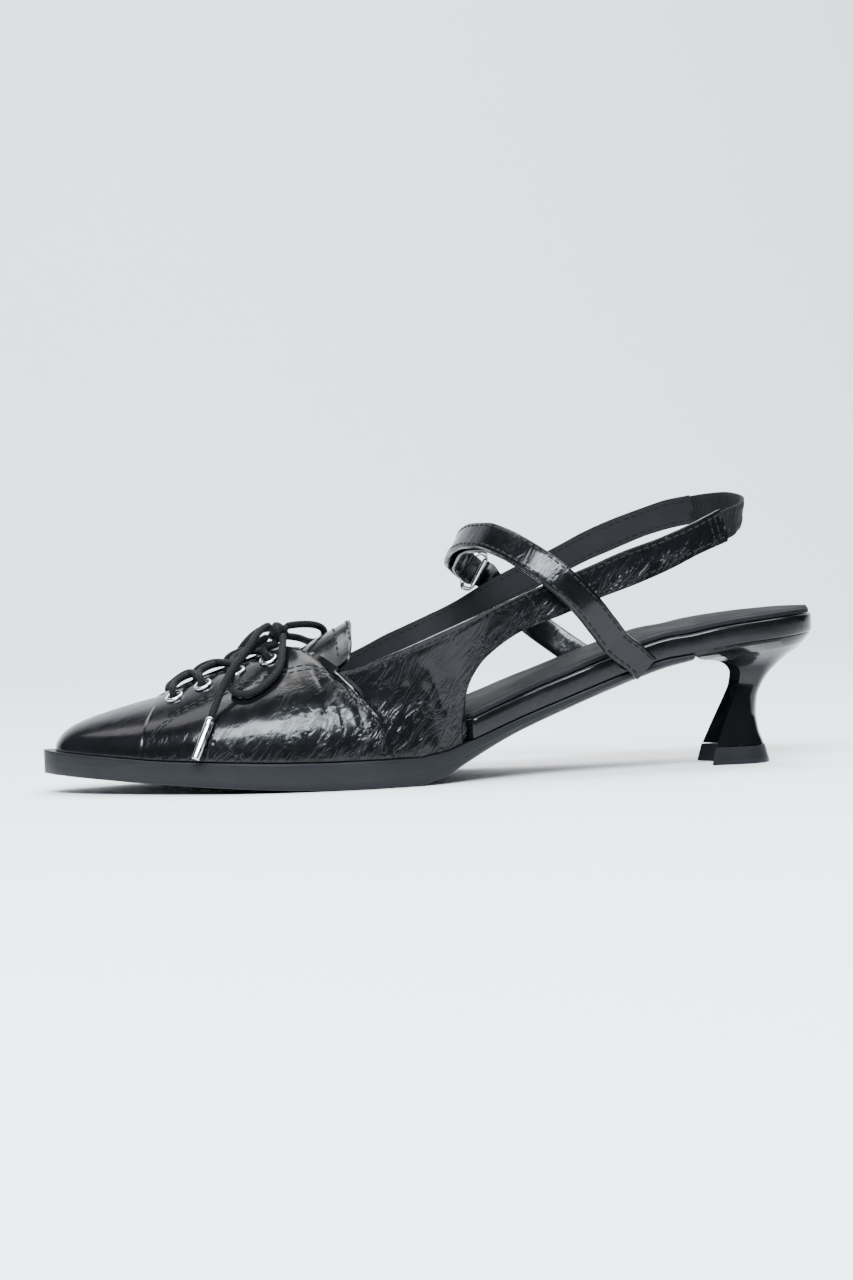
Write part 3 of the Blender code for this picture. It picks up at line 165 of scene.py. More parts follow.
# Upper, a row for each section from the toe tip to the end of the sling straps.
# low and top: where the section starts and ends along the shoe. low_out, low_in, low_up: its
# lower end once it leaves the sole. top_out, top_in, top_up: its upper end. rise, lie, dip: how
# the section leaves the sole and meets its upper end. lift_top, lift_low: how much higher the
# inner side stands.
ON_SOLE = None
UPPER_COLUMNS = (
    "low", "low_out", "low_in", "low_up", "top", "top_out", "top_in", "top_up",
    "rise", "lie", "dip", "lift_top", "lift_low",
)
UPPER = (
    (0.0150, ON_SOLE, ON_SOLE, ON_SOLE, 0.0158, 0.228, 0.228, 0.330, 0.40, 0.50, 0.20, 0, 0),
    (0.0150, ON_SOLE, ON_SOLE, ON_SOLE, 0.0173, 0.228, 0.228, 0.357, 0.45, 0.50, 0.15, 0, 0),
    (0.0165, ON_SOLE, ON_SOLE, ON_SOLE, 0.0210, 0.228, 0.228, 0.388, 0.50, 0.50, 0.12, 0, 0),
    (0.0210, ON_SOLE, ON_SOLE, ON_SOLE, 0.0290, 0.226, 0.226, 0.435, 0.55, 0.50, 0.10, 0, 0),
    (0.0300, ON_SOLE, ON_SOLE, ON_SOLE, 0.0418, 0.221, 0.221, 0.479, 0.55, 0.50, 0.10, 0, 0),
    (0.0450, ON_SOLE, ON_SOLE, ON_SOLE, 0.0610, 0.213, 0.213, 0.521, 0.55, 0.48, 0.10, 0, 0),
    (0.0660, ON_SOLE, ON_SOLE, ON_SOLE, 0.0880, 0.200, 0.200, 0.567, 0.55, 0.46, 0.10, 0, 0),
    (0.0919, ON_SOLE, ON_SOLE, ON_SOLE, 0.1180, 0.182, 0.182, 0.612, 0.55, 0.45, 0.10, 0, 0),
    (0.1144, ON_SOLE, ON_SOLE, ON_SOLE, 0.1500, 0.165, 0.165, 0.655, 0.55, 0.45, 0.10, 0, 0),
    (0.1185, ON_SOLE, ON_SOLE, ON_SOLE, 0.1580, 0.160, 0.160, 0.667, 0.55, 0.45, 0.10, 0, 0),
    (0.1204, ON_SOLE, ON_SOLE, ON_SOLE, 0.1600, 0.158, 0.158, 0.670, 0.55, 0.45, 0.10, 0, 0),
    (0.1480, ON_SOLE, ON_SOLE, ON_SOLE, 0.1744, 0.140, 0.140, 0.700, 0.55, 0.45, 0.10, 0, 0),
    (0.1780, ON_SOLE, ON_SOLE, ON_SOLE, 0.1837, 0.050, 0.200, 0.721, 0.55, 0.45, 0.10, 0, 0),
    (0.2080, ON_SOLE, ON_SOLE, ON_SOLE, 0.2040, 0.010, 0.225, 0.763, 0.55, 0.45, 0.10, 0, 0),
    (0.2456, ON_SOLE, ON_SOLE, ON_SOLE, 0.2400, -0.018, 0.250, 0.829, 0.55, 0.45, 0.10, 0, 0),
    (0.2870, ON_SOLE, ON_SOLE, ON_SOLE, 0.2737, -0.040, 0.270, 0.890, 0.55, 0.45, 0.10, 0, 0),
    (0.3280, ON_SOLE, ON_SOLE, ON_SOLE, 0.2960, -0.085, 0.315, 0.938, 0.55, 0.45, 0.10, 0, 0),
    (0.3620, ON_SOLE, ON_SOLE, ON_SOLE, 0.3112, -0.165, 0.400, 0.965, 0.52, 0.42, 0.10, 0, 0),
    (0.3880, ON_SOLE, ON_SOLE, ON_SOLE, 0.3280, -0.300, 0.520, 0.942, 0.50, 0.42, 0.14, 0, 0),
    (0.4106, ON_SOLE, ON_SOLE, ON_SOLE, 0.3450, -0.475, 0.640, 0.883, 0.45, 0.45, 0.20, 0, 0),
    (0.4240, ON_SOLE, ON_SOLE, ON_SOLE, 0.3610, -0.655, 0.765, 0.810, 0.40, 0.50, 0.28, 0, 0),
    (0.4260, ON_SOLE, ON_SOLE, ON_SOLE, 0.3637, -0.675, 0.785, 0.800, 0.40, 0.50, 0.30, 0, 0),
    (0.4440, ON_SOLE, ON_SOLE, ON_SOLE, 0.3825, -0.730, 0.805, 0.825, 0.38, 0.50, 0.30, 0, 0),
    (0.4670, ON_SOLE, ON_SOLE, ON_SOLE, 0.4200, -0.790, 0.825, 0.898, 0.36, 0.50, 0.32, 0.01, 0),
    (0.4890, ON_SOLE, ON_SOLE, ON_SOLE, 0.4590, -0.815, 0.840, 0.979, 0.36, 0.45, 0.33, 0.03, 0),
    (0.5060, ON_SOLE, ON_SOLE, ON_SOLE, 0.4874, -0.825, 0.850, 1.042, 0.35, 0.40, 0.33, 0.03, 0),
    (0.5160, ON_SOLE, ON_SOLE, ON_SOLE, 0.5060, -0.826, 0.860, 1.083, 0.35, 0.40, 0.33, 0.03, 0),
    (0.5170, -0.785, 0.760, 0.417, 0.5174, -0.826, 0.865, 1.110, 0.34, 0.36, 0.33, 0.03, 0),
    (0.5190, -0.795, 0.785, 0.552, 0.5287, -0.826, 0.870, 1.135, 0.34, 0.34, 0.33, 0.03, 0),
    (0.5264, -0.810, 0.810, 0.688, 0.5400, -0.826, 0.872, 1.163, 0.33, 0.33, 0.33, 0.03, 0.01),
    (0.5410, -0.820, 0.830, 0.823, 0.5530, -0.826, 0.872, 1.194, 0.33, 0.33, 0.33, 0.035, 0.02),
    (0.5636, -0.825, 0.850, 0.935, 0.5700, -0.822, 0.872, 1.233, 0.33, 0.33, 0.33, 0.05, 0.045),
    (0.5980, -0.825, 0.865, 1.048, 0.5940, -0.815, 0.872, 1.288, 0.33, 0.33, 0.33, 0.07, 0.08),
    (0.6468, -0.820, 0.870, 1.140, 0.6355, -0.800, 0.872, 1.375, 0.33, 0.33, 0.33, 0.095, 0.12),
    (0.6974, -0.795, 0.855, 1.248, 0.6840, -0.782, 0.860, 1.471, 0.33, 0.33, 0.33, 0.115, 0.155),
    (0.7420, -0.770, 0.830, 1.328, 0.7290, -0.756, 0.845, 1.567, 0.33, 0.33, 0.33, 0.14, 0.185),
    (0.7908, -0.718, 0.790, 1.428, 0.7800, -0.708, 0.800, 1.654, 0.33, 0.33, 0.33, 0.163, 0.19),
    (0.8330, -0.640, 0.720, 1.528, 0.8250, -0.631, 0.720, 1.746, 0.33, 0.33, 0.33, 0.155, 0.165),
    (0.8736, -0.540, 0.630, 1.608, 0.8650, -0.513, 0.610, 1.838, 0.33, 0.33, 0.33, 0.11, 0.13),
)
RIDGE_END = 11
TOE_SEAM = 10
REAR_SEAM = 20
FREE_FROM = 27

# Tongue behind the eyestays: along, ridge height, half width and height of its edge
TONGUE = (
    (0.328, 0.950, 0.44, 0.800),
    (0.347, 1.010, 0.51, 0.790),
    (0.366, 1.066, 0.54, 0.815),
    (0.381, 1.108, 0.48, 0.880),
    (0.388, 1.130, 0.36, 0.975),
    (0.391, 1.138, 0.20, 1.070),
)
TONGUE_MIDDLE = 0.10
TONGUE_ARCH = 1.8

# Heel sections from its foot to the seat: height of back and front, back and front edge along
# the shoe, greatest half width and half width of the front corners, hollow of the breast
HEEL_COLUMNS = ("up_back", "up_front", "back", "front", "half", "corner", "hollow")
HEEL = (
    (0.141, 0.141, 0.9330, 0.8615, 0.275, 0.265, 0.0060),
    (0.257, 0.257, 0.9262, 0.8698, 0.250, 0.240, 0.0070),
    (0.387, 0.387, 0.9235, 0.8795, 0.225, 0.212, 0.0075),
    (0.508, 0.508, 0.9254, 0.8890, 0.208, 0.192, 0.0075),
    (0.611, 0.611, 0.9325, 0.8960, 0.205, 0.185, 0.0070),
    (0.694, 0.694, 0.9427, 0.8980, 0.220, 0.195, 0.0060),
    (0.760, 0.745, 0.9540, 0.8945, 0.260, 0.230, 0.0055),
    (0.820, 0.785, 0.9660, 0.8830, 0.330, 0.310, 0.0050),
    (0.880, 0.812, 0.9800, 0.8600, 0.430, 0.420, 0.0040),
    (0.935, 0.830, 0.9890, 0.8350, 0.540, 0.520, 0.0020),
)
HEEL_MIDDLE = 0.045
HEEL_TURN = 0.55
BACK_POINTS = 41
BREAST_POINTS = 21
SEAT_REACH = 0.985

# Strap paths: along, across, up, then the direction of the strap's width
STRAP_COLUMNS = ("along", "across", "up", "wide_x", "wide_y", "wide_z")
INSTEP_STRAP = (
    (0.7570, -0.672, 0.735, 0.72, 0.00, 0.60),
    (0.7400, -0.700, 0.825, 0.74, 0.00, 0.62),
    (0.7180, -0.757, 0.915, 0.76, 0.00, 0.65),
    (0.6955, -0.840, 1.065, 0.76, 0.00, 0.65),
    (0.6750, -0.890, 1.205, 0.74, 0.04, 0.66),
    (0.6505, -0.895, 1.345, 0.72, 0.08, 0.68),
    (0.6280, -0.830, 1.460, 0.68, 0.10, 0.72),
    (0.6055, -0.690, 1.560, 0.64, 0.10, 0.76),
    (0.5870, -0.500, 1.635, 0.60, 0.08, 0.80),
    (0.5710, -0.270, 1.678, 0.56, 0.04, 0.83),
    (0.5590, -0.040, 1.675, 0.53, 0.00, 0.85),
    (0.5515, 0.220, 1.630, 0.50, -0.05, 0.86),
    (0.5520, 0.460, 1.550, 0.48, -0.12, 0.87),
    (0.5680, 0.632, 1.448, 0.46, -0.18, 0.87),
)
INSTEP_STRAP_RETURN = 2.3

RING_STRAP = (
    (0.5868, 0.826, 1.422, 0.46, -0.18, 0.87),
    (0.5942, 0.905, 1.402, 0.50, -0.16, 0.85),
    (0.6030, 0.966, 1.340, 0.58, -0.06, 0.81),
    (0.6170, 0.964, 1.250, 0.64, -0.02, 0.76),
    (0.6340, 0.940, 1.160, 0.68, 0.00, 0.73),
    (0.6560, 0.918, 1.040, 0.70, 0.00, 0.71),
    (0.6800, 0.862, 0.930, 0.70, 0.00, 0.71),
    (0.7000, 0.780, 0.840, 0.70, 0.00, 0.70),
    (0.7180, 0.726, 0.765, 0.70, 0.00, 0.70),
)
RING_PLACE = {"along": 0.5745, "across": 0.742, "up": 1.445}
RING_LONG = (0.46, -0.18, 0.87)
RING_SHORT = (0.62, 0.66, -0.30)

ELASTIC = (
    (0.8760, -0.505, 1.735, 0.22, 0.05, 0.97),
    (0.8900, -0.400, 1.768, 0.20, 0.05, 0.98),
    (0.9030, -0.220, 1.800, 0.16, 0.03, 0.98),
    (0.9095, -0.020, 1.830, 0.10, 0.00, 0.99),
    (0.9080, 0.190, 1.850, 0.08, 0.00, 0.99),
    (0.9000, 0.380, 1.860, 0.10, 0.00, 0.99),
    (0.8870, 0.530, 1.855, 0.14, 0.00, 0.99),
    (0.8745, 0.615, 1.845, 0.18, 0.00, 0.98),
)

# Eyelets of one row: place along the shoe and distance down from the edge or the ridge
EYELETS = (
    (0.166, 0.0115),
    (0.202, 0.0076),
    (0.244, 0.0064),
    (0.286, 0.0058),
)

# Routes of the free lace, in metres
LACE_LOOP_OUTER = (
    (-0.0516, -0.0026, 0.0506), (-0.0522, -0.0064, 0.0486), (-0.0529, -0.0108, 0.0458),
    (-0.0538, -0.0158, 0.0427), (-0.0557, -0.0202, 0.0390), (-0.0601, -0.0230, 0.0354),
    (-0.0650, -0.0247, 0.0326), (-0.0694, -0.0236, 0.0324), (-0.0718, -0.0205, 0.0345),
    (-0.0712, -0.0172, 0.0382), (-0.0688, -0.0145, 0.0420), (-0.0650, -0.0108, 0.0456),
    (-0.0607, -0.0058, 0.0486), (-0.0571, -0.0012, 0.0501),
)
LACE_LOOP_INNER = (
    (-0.0497, 0.0034, 0.0535), (-0.0456, 0.0068, 0.0538), (-0.0412, 0.0105, 0.0536),
    (-0.0374, 0.0140, 0.0527), (-0.0350, 0.0180, 0.0507), (-0.0348, 0.0222, 0.0482),
    (-0.0370, 0.0240, 0.0466), (-0.0400, 0.0215, 0.0470), (-0.0430, 0.0160, 0.0483),
    (-0.0465, 0.0095, 0.0494), (-0.0501, 0.0044, 0.0500),
)
LACE_END_OUTER = (
    (-0.0562, -0.0011, 0.0541), (-0.0595, -0.0066, 0.0530), (-0.0630, -0.0128, 0.0494),
    (-0.0665, -0.0172, 0.0454), (-0.0698, -0.0200, 0.0418), (-0.0727, -0.0219, 0.0380),
    (-0.0750, -0.0236, 0.0338), (-0.0772, -0.0254, 0.0293), (-0.0790, -0.0271, 0.0254),
)
LACE_END_INNER = (
    (-0.0543, 0.0048, 0.0530), (-0.0575, 0.0105, 0.0525), (-0.0612, 0.0172, 0.0493),
    (-0.0645, 0.0230, 0.0447), (-0.0670, 0.0272, 0.0390), (-0.0688, 0.0304, 0.0332),
    (-0.0702, 0.0330, 0.0282),
)
KNOT_PLACE = (-0.0530, 0.0010, 0.0518)
# Where the last two strands meet the knot from below: along, across to each side, down
KNOT_ENTRY = (-0.0006, 0.0018, -0.0041)
KNOT_AXIS = (0.75, 0.35, 0.35)
KNOT_HALF_LENGTH = 0.52
# Where a strand passes over the edge, as a share of the way from its eyelet to the edge
EDGE_PASS = 0.65

# Sizes that only the visual model needs, in metres where they aren't shares
# Angle in degrees from which an edge stays sharp, and distance at which points are one
SHARP_ANGLE = 38.0
SAME_PLACE = 0.000001
# Share of the way to the next point at which a rounded corner starts
CORNER_SHARE = 0.3
# Innermost point of the sole's underside, as a share of its width
SOLE_INMOST = 0.46
# Softened lower edge of the top piece, and the share of its height that it takes
TOP_PIECE_SOFT = 0.0003
SOFT_UP_TO = 0.08
# Insole: pressed line, and the shares of its width at which its crown is drawn
SOCK_LINE = 0.0003
SOCK_LINE_AT = 0.065
SOCK_LINE_WIDTH = 0.008
SOCK_SHARES = (0.04, 0.055, 0.065, 0.075, 0.09, 0.14, 0.22, 0.32, 0.42, 0.5)
# Grid of the upper, and where extra rows stand beside a seam
SHEET_PITCH = 0.0014
SHEET_STEPS = 44
SEAM_PLACES = (-0.12, -0.09, -0.06, -0.02, 0.02, 0.06, 0.09, 0.12)
# Relief of the upper: depths in metres, places and widths in rows
EDGE_PRESS = 0.00015
SEAM_SOFT = 0.08
SEAM_PRESS = 0.0005
SEAM_PRESS_OFF = 0.7
SEAM_PRESS_WIDTH = 0.45
QUARTER_SEAM = 32.3
QUARTER_BULGE = 0.22
QUARTER_STEP = 0.0002
CREASE_END = 0.12
# Stitches: distance from an edge, height, and sections as place, size and how deep they sink
EDGE_MARGIN = 0.0017
STITCH_HEIGHT = 0.0002
STITCH_SIDES = 6
STITCH_SECTIONS = ((-0.5, 0.35, 0.5), (-0.32, 1, 0), (0.32, 1, 0), (0.5, 0.35, 0.5))
# Stitch lines along the upper's edges: first row, last row and whether at the lower edge
EDGE_STITCHES = ((21.2, 37.9, False), (11.3, 19.6, False), (28.5, 37.9, True))
INSIDE_STITCHES = ((21.2, 37.9, False), (28.5, 37.9, True))
# Stitch lines across it: row, lower and upper step
ROW_STITCHES = ((19.35, 0.04, 0.97), (37.55, 0.1, 0.9), (37.75, 0.1, 0.9))
QUARTER_STITCH_OFF = 0.14
# Stitch lines across the tongue, counted in fine rows from its end
TONGUE_STITCH_ROWS = (9, 18)
# Line of stitches round the eyestay, as row and step, and the second row above it
EYESTAY_LINE = (
    (10.25, 0.10), (10.7, 0.30), (11.5, 0.47), (12.6, 0.56), (14, 0.62), (15.5, 0.65), (17.2, 0.66),
    (18.6, 0.64), (19.3, 0.62),
)
EYESTAY_ROW_GAP = 0.045
# Eyelets, cords, knot and metal tips
HOLE_SIDES = 40
FLANGE_TUCK = 0.0002
EASE_ROUNDS = 8
CORD_END = 0.8
KNOT_CORE_BEND = 0.0003
# The knot's two turns: place along its axis, lean and start in radians
KNOT_TURNS = ((-0.28, 0.175, 0.0), (0.28, -0.175, 2.2))
AGLET_CRIMP = 0.0025
# Elastic: width and thickness that show, its ends in the sling straps, and its zigzag
ELASTIC_SHOWN = (0.0096, 0.0012)
ELASTIC_TUCK = 0.006
ELASTIC_SINK = 0.00017
TUCK_ROWS = (37.4, 37.7, 37.95)
ZIGZAG_STEP = 0.0016
ZIGZAG_SWING = (0.12, 0.40)
# Creases of the upper: row, slant, lower and upper step, width in rows, depth
CREASES = (
    (15.2, 0.9, 0.16, 0.62, 0.16, 0.00022),
    (15.9, 0.6, 0.10, 0.55, 0.14, 0.00028),
    (16.6, 1.1, 0.20, 0.70, 0.16, 0.00030),
    (17.4, -0.7, 0.12, 0.58, 0.18, 0.00026),
    (18.2, 0.8, 0.22, 0.66, 0.14, 0.00030),
    (14.3, 1.2, 0.30, 0.60, 0.20, -0.00018),
    (17.0, 0.4, 0.05, 0.35, 0.20, -0.00022),
    (22.6, 1.0, 0.15, 0.70, 0.18, 0.00028),
    (23.6, 0.5, 0.10, 0.60, 0.16, 0.00032),
    (24.5, -0.6, 0.30, 0.80, 0.18, 0.00024),
    (25.4, 0.7, 0.12, 0.66, 0.16, 0.00028),
)
# Shine of the finishes, and the crinkles' stretch and lean
PATENT_SHINE = 0.2
DULL_SHINE = 0.16
SOCK_SHINE = 0.05
CRINKLE_STRETCH = (310, 250, 95)
CRINKLE_LEAN = -0.6
# Camera in degrees, metres and the sensor's millimetres
CAMERA_AZIMUTH = -8.5
CAMERA_RISE = 2.5
CAMERA_ROLL = 2.0
CAMERA_DISTANCE = 1.05
CAMERA_SENSOR = 36.0
CAMERA_TARGET = (-0.00185, 0.002, 0.0468)
PICTURE_HEIGHT = 0.439
# Paper that hangs behind the shoe and lies under it
PAPER_FRONT = -0.85
PAPER_BACK = 0.75
PAPER_BEND = 0.5
PAPER_HEIGHT = 1.7
PAPER_HALF = 1.7
PAPER_DARK = (0.84, 0.845, 0.855)
PAPER_LIGHT = (0.87, 0.87, 0.88)
FLOOR_GAP = 0.0001
WORLD_COLOUR = (0.75, 0.8, 0.9, 1)
WORLD_STRENGTH = 0.05
LIGHT_TARGET = (-0.02, 0.0, 0.04)
# Soft boxes: name, place, width, height, power, colour
LIGHTS = (
    ("key", (-0.30, -0.85, 0.95), 1.05, 0.36, 62.0, (0.84, 0.92, 1.0)),
    ("top", (0.25, 0.35, 1.35), 1.5, 0.9, 34.0, (0.97, 0.98, 1.0)),
    ("wall", (0.0, 0.2, 1.7), 2.4, 0.6, 21.0, (1.0, 1.0, 1.0)),
)


def smooth(keys, values, at):
    """Monotone cubic through the keys, read at the places in at."""
    keys = np.asarray(keys, float)
    values = np.asarray(values, float)
    at = np.asarray(at, float)
    step = np.diff(keys)
    slope = np.diff(values) / step
    bend = np.zeros(len(keys))
    same = slope[:-1] * slope[1:] > 0
    weight = step[:-1] + 2 * step[1:], 2 * step[:-1] + step[1:]
    before = np.where(same, slope[:-1], 1)
    after = np.where(same, slope[1:], 1)
    blend = (weight[0] + weight[1]) / (weight[0] / before + weight[1] / after)
    bend[1:-1] = np.where(same, blend, 0)
    bend[0] = slope[0]
    bend[-1] = slope[-1]
    i = np.clip(np.searchsorted(keys, at, side="right") - 1, 0, len(step) - 1)
    t = np.clip((at - keys[i]) / step[i], 0, 1)
    low = (1 + 2 * t) * (1 - t) ** 2 * values[i] + t * (1 - t) ** 2 * step[i] * bend[i]
    high = t * t * (3 - 2 * t) * values[i + 1] + t * t * (t - 1) * step[i] * bend[i + 1]
    return low + high


def columns(names, rows):
    """A table's rows as a dictionary of named columns."""
    return {name: [row[i] for row in rows] for i, name in enumerate(names)}


def along_x(share):
    """X of a place given as a share of the shoe's length from the toe."""
    return (np.asarray(share, float) - 0.5) * SHOE_LENGTH


def share_at(x):
    """Share of the shoe's length at x: the reverse of along_x."""
    return np.asarray(x, float) / SHOE_LENGTH + 0.5


def unit(vector):
    """Vectors scaled to length 1."""
    vector = np.asarray(vector, float)
    return vector / np.linalg.norm(vector, axis=-1, keepdims=True)


def place(along, across, up):
    """A point from shares of the length, the half width and the instep's height."""
    return np.array([along_x(along), across * HALF_BALL, up * INSTEP_HEIGHT], float)


def outline(x, inset, front=0.0):
    """Outer and inner edge of the sole at x, drawn in by inset at the sides and back and by front
    at the toe, with a chisel toe and a round seat."""
    share = share_at(x)
    outer = smooth(OUTLINE["along"], OUTLINE["outer"], share) * HALF_BALL + inset
    inner = smooth(OUTLINE["along"], OUTLINE["inner"], share) * HALF_BALL - inset
    middle = (outer + inner) / 2
    half = (inner - outer) / 2
    ahead = np.clip(1 - (x - TOE_X - front) / TOE_CORNER, 0, 1)
    half = half - TOE_CORNER * (1 - np.sqrt(1 - ahead**2))
    back = SHOE_LENGTH / 2 - inset
    behind = np.clip((x - back) / SEAT_ROUNDING + 1, 0, 1)
    half = half * np.sqrt(1 - behind**2)
    return middle - half, middle + half


def sole_under(x):
    """Underside of the sole: toe spring, flat tread under the ball, arch."""
    share = share_at(x)
    ahead = np.clip((FLAT_FROM - share) / FLAT_FROM, 0, 1)
    arch = smooth(ARCH["along"], ARCH["up"], np.maximum(share, FLAT_TO)) * SEAT_HEIGHT
    return TOE_SPRING * ahead**SPRING_POWER + arch


def sole_top(x):
    """Top of the sole: its underside and its thickness added."""
    deep = smooth(THICKNESS["along"], THICKNESS["deep"], share_at(x))
    return sole_under(x) + deep * SOLE_THICKNESS


def band_top(x):
    """Top of the board's band, standing on the sole."""
    return sole_top(x) + GAP + smooth(BAND["along"], BAND["high"], share_at(x)) * RAND_HEIGHT


def heel_ring(back, front, up_back, up_front, half, corner, hollow):
    """D shaped section: half an ellipse at the back, straight flanks and a parabola at the breast."""
    middle = HEEL_MIDDLE * HALF_BALL
    turn = front + (back - front) * HEEL_TURN
    angle = np.linspace(-math.pi / 2, math.pi / 2, BACK_POINTS)
    share = np.linspace(1, -1, BREAST_POINTS)
    x = np.concatenate([turn + (back - turn) * np.cos(angle), front + hollow * (1 - share**2)])
    y = middle + np.concatenate([half * np.sin(angle), corner * share])
    tilt = (x - front) / (back - front)
    return np.column_stack([x, y, up_front + (up_back - up_front) * tilt])


def heel_seat(count, flat):
    """Top ring of the heel: the round seat's plan behind a straight edge at the breast."""
    middle_turn = SHOE_LENGTH / 2 - SEAT_INSET - SEAT_ROUNDING
    front = along_x(BREAST) + GAP
    angle = np.linspace(-math.pi / 2, math.pi / 2, count - flat)
    x = middle_turn + SEAT_ROUNDING * np.cos(angle) * SEAT_REACH
    outer, inner = outline(x, SEAT_INSET)
    across = np.where(angle > 0, inner, outer)
    across = np.where(np.abs(angle) > WELD, across, (inner + outer) / 2)
    edges = outline(front, SEAT_INSET)
    breast = sum(edges) / 2 + (edges[1] - edges[0]) / 2 * np.linspace(1, -1, flat)
    return np.column_stack([np.append(x, np.full(flat, front)), np.append(across, breast)])


def upper_rows():
    """The upper's table as columns."""
    return columns(UPPER_COLUMNS, UPPER)


def upper_ends(row, side):
    """Lower and upper end of the section at a fractional row, for side -1 (outer) or 1 (inner)."""
    rows = upper_rows()
    keys = range(len(UPPER))
    read = {
        name: float(smooth(keys, rows[name], row)) for name in UPPER_COLUMNS if None not in rows[name]
    }
    low_x = float(along_x(read["low"]))
    name = "in" if side > 0 else "out"
    lift = side > 0
    edges = outline(low_x, WELT_LEDGE, TOE_LEDGE)
    low_y = float(edges[lift])
    if row < 1:
        middle = float(sum(edges)) / 2
        low_y = middle + (low_y - middle) * row
    low_z = float(sole_top(low_x)) + UPPER_REST
    start = FREE_FROM - 1
    if row > start:
        start_x = along_x(rows["low"][start])
        spots = range(start, len(UPPER))
        edge = float(outline(start_x, WELT_LEDGE, TOE_LEDGE)[lift]) / HALF_BALL
        low_y = float(smooth(spots, [edge] + rows["low_" + name][FREE_FROM:], row)) * HALF_BALL
        base = (float(sole_top(start_x)) + UPPER_REST) / INSTEP_HEIGHT
        low_z = float(smooth(spots, [base] + rows["low_up"][FREE_FROM:], row)) * INSTEP_HEIGHT
    low_z += lift * read["lift_low"] * INSTEP_HEIGHT
    top_z = (read["top_up"] + lift * read["lift_top"]) * INSTEP_HEIGHT
    low = np.array([low_x, low_y, low_z])
    crest = read["top_in"] if row <= RIDGE_END else read["top_" + name]
    top = np.array([float(along_x(read["top"])), crest * HALF_BALL, top_z])
    return low, top, read


def upper_section(row, side, steps):
    """Points of one section from the sole to its upper end, a cubic with handles from the table."""
    low, top, read = upper_ends(row, side)
    high = top[2] - low[2]
    first = low + np.array([0, 0, read["rise"] * high])
    level = (low - top) * np.array([1, 1, 0])
    second = top + read["lie"] * level - np.array([0, 0, read["dip"] * high])
    t = np.asarray(steps, float)[:, None]
    rest = 1 - t
    return low * rest**3 + 3 * first * t * rest**2 + 3 * second * t * t * rest + top * t**3


def eyelet_seat(target, margin, side):
    """Centre and outward direction on the upper, margin down the section from its upper end."""
    best = None
    steps = np.linspace(0, 1, 81)
    for row in np.arange(RIDGE_END - 0.9, REAR_SEAM, 0.05):
        line = upper_section(row, side, steps)
        run = np.linalg.norm(np.diff(line[::-1], axis=0), axis=1).cumsum()
        spot = 80 - int(np.searchsorted(run, margin)) - 1
        miss = abs(line[spot, 0] - float(along_x(target)))
        if best is None or miss < best[0]:
            best = (miss, row, steps[spot])
    _, row, step = best
    here = upper_section(row, side, [step])[0]
    ahead = upper_section(row + 0.1, side, [step])[0] - upper_section(row - 0.1, side, [step])[0]
    rise = upper_section(row, side, [step + 0.02])[0] - upper_section(row, side, [step - 0.02])[0]
    out = unit(np.cross(ahead, rise)) * (-side)
    return here + out * OVERLAY, out, row


def frame_of(out):
    """Two directions square to out and to each other."""
    first = unit(np.cross(out, (0, 1, 0)))
    return first, np.cross(out, first)


def strap_line(rows, count):
    """Centres and width directions at count even steps through a strap table."""
    table = columns(STRAP_COLUMNS, rows)
    at = np.linspace(0, len(rows) - 1, count)
    read = {name: smooth(range(len(rows)), table[name], at) for name in STRAP_COLUMNS}
    across = read["across"] * HALF_BALL
    centres = np.column_stack([along_x(read["along"]), across, read["up"] * INSTEP_HEIGHT])
    return centres, unit(np.column_stack([read["wide_x"], read["wide_y"], read["wide_z"]]))


def ring_frame():
    """Centre, long and short direction of the strap ring."""
    long = unit(RING_LONG)
    short = np.asarray(RING_SHORT)
    short = unit(short - long * np.dot(short, long))
    return place(**RING_PLACE), long, short


def edge_pass(seat, edge, rise):
    """Where a strand lies over the eyestay's edge."""
    centre, out, _ = seat
    return centre * (1 - EDGE_PASS) + edge * EDGE_PASS + out * (rise + OVERLAY)


def strand_routes(seats):
    """Crossed strands: out of each eyelet, over the edge, across and down beside the next one."""
    radius = LACE_DIAMETER / 2
    rise = radius + GAP + EYELET_LIFT + EYELET_FLANGE
    outer, inner = seats
    edges = []
    for row, side in zip(seats, (-1, 1)):
        edges.append([upper_ends(seat[2], side)[1] for seat in row])
    routes = []
    for i in range(len(outer) - 1):
        for near, far, near_edge, far_edge, level in (
            (outer, inner, edges[0], edges[1], 0.0),
            (inner, outer, edges[1], edges[0], radius * 0.5),
        ):
            centre, out, _ = near[i]
            start = centre - out * UPPER_WALL * 0.5
            over = edge_pass(near[i], near_edge[i], rise)
            middle = (near_edge[i] + far_edge[i] + near_edge[i + 1] + far_edge[i + 1]) / 4
            middle = middle + np.array([0, 0, rise + level + OVERLAY])
            land = edge_pass(far[i + 1], far_edge[i + 1], rise) - far[i + 1][1] * radius * 0.8
            routes.append([start, centre + out * rise * 0.9, over, middle, land])
    for row, row_edges, side in zip(seats, edges, (-1, 1)):
        centre, out, _ = row[-1]
        start = centre - out * UPPER_WALL * 0.5
        over = edge_pass(row[-1], row_edges[-1], rise)
        end = np.array(KNOT_PLACE) + np.array(KNOT_ENTRY) * (1, side, 1)
        routes.append([start, centre + out * rise * 0.9, over, end])
    return routes


# Grid of the upper: its rows and steps, and the shown skin, plain surface and normals of both sides
Sheet = namedtuple("Sheet", "rows steps shown bare normals")


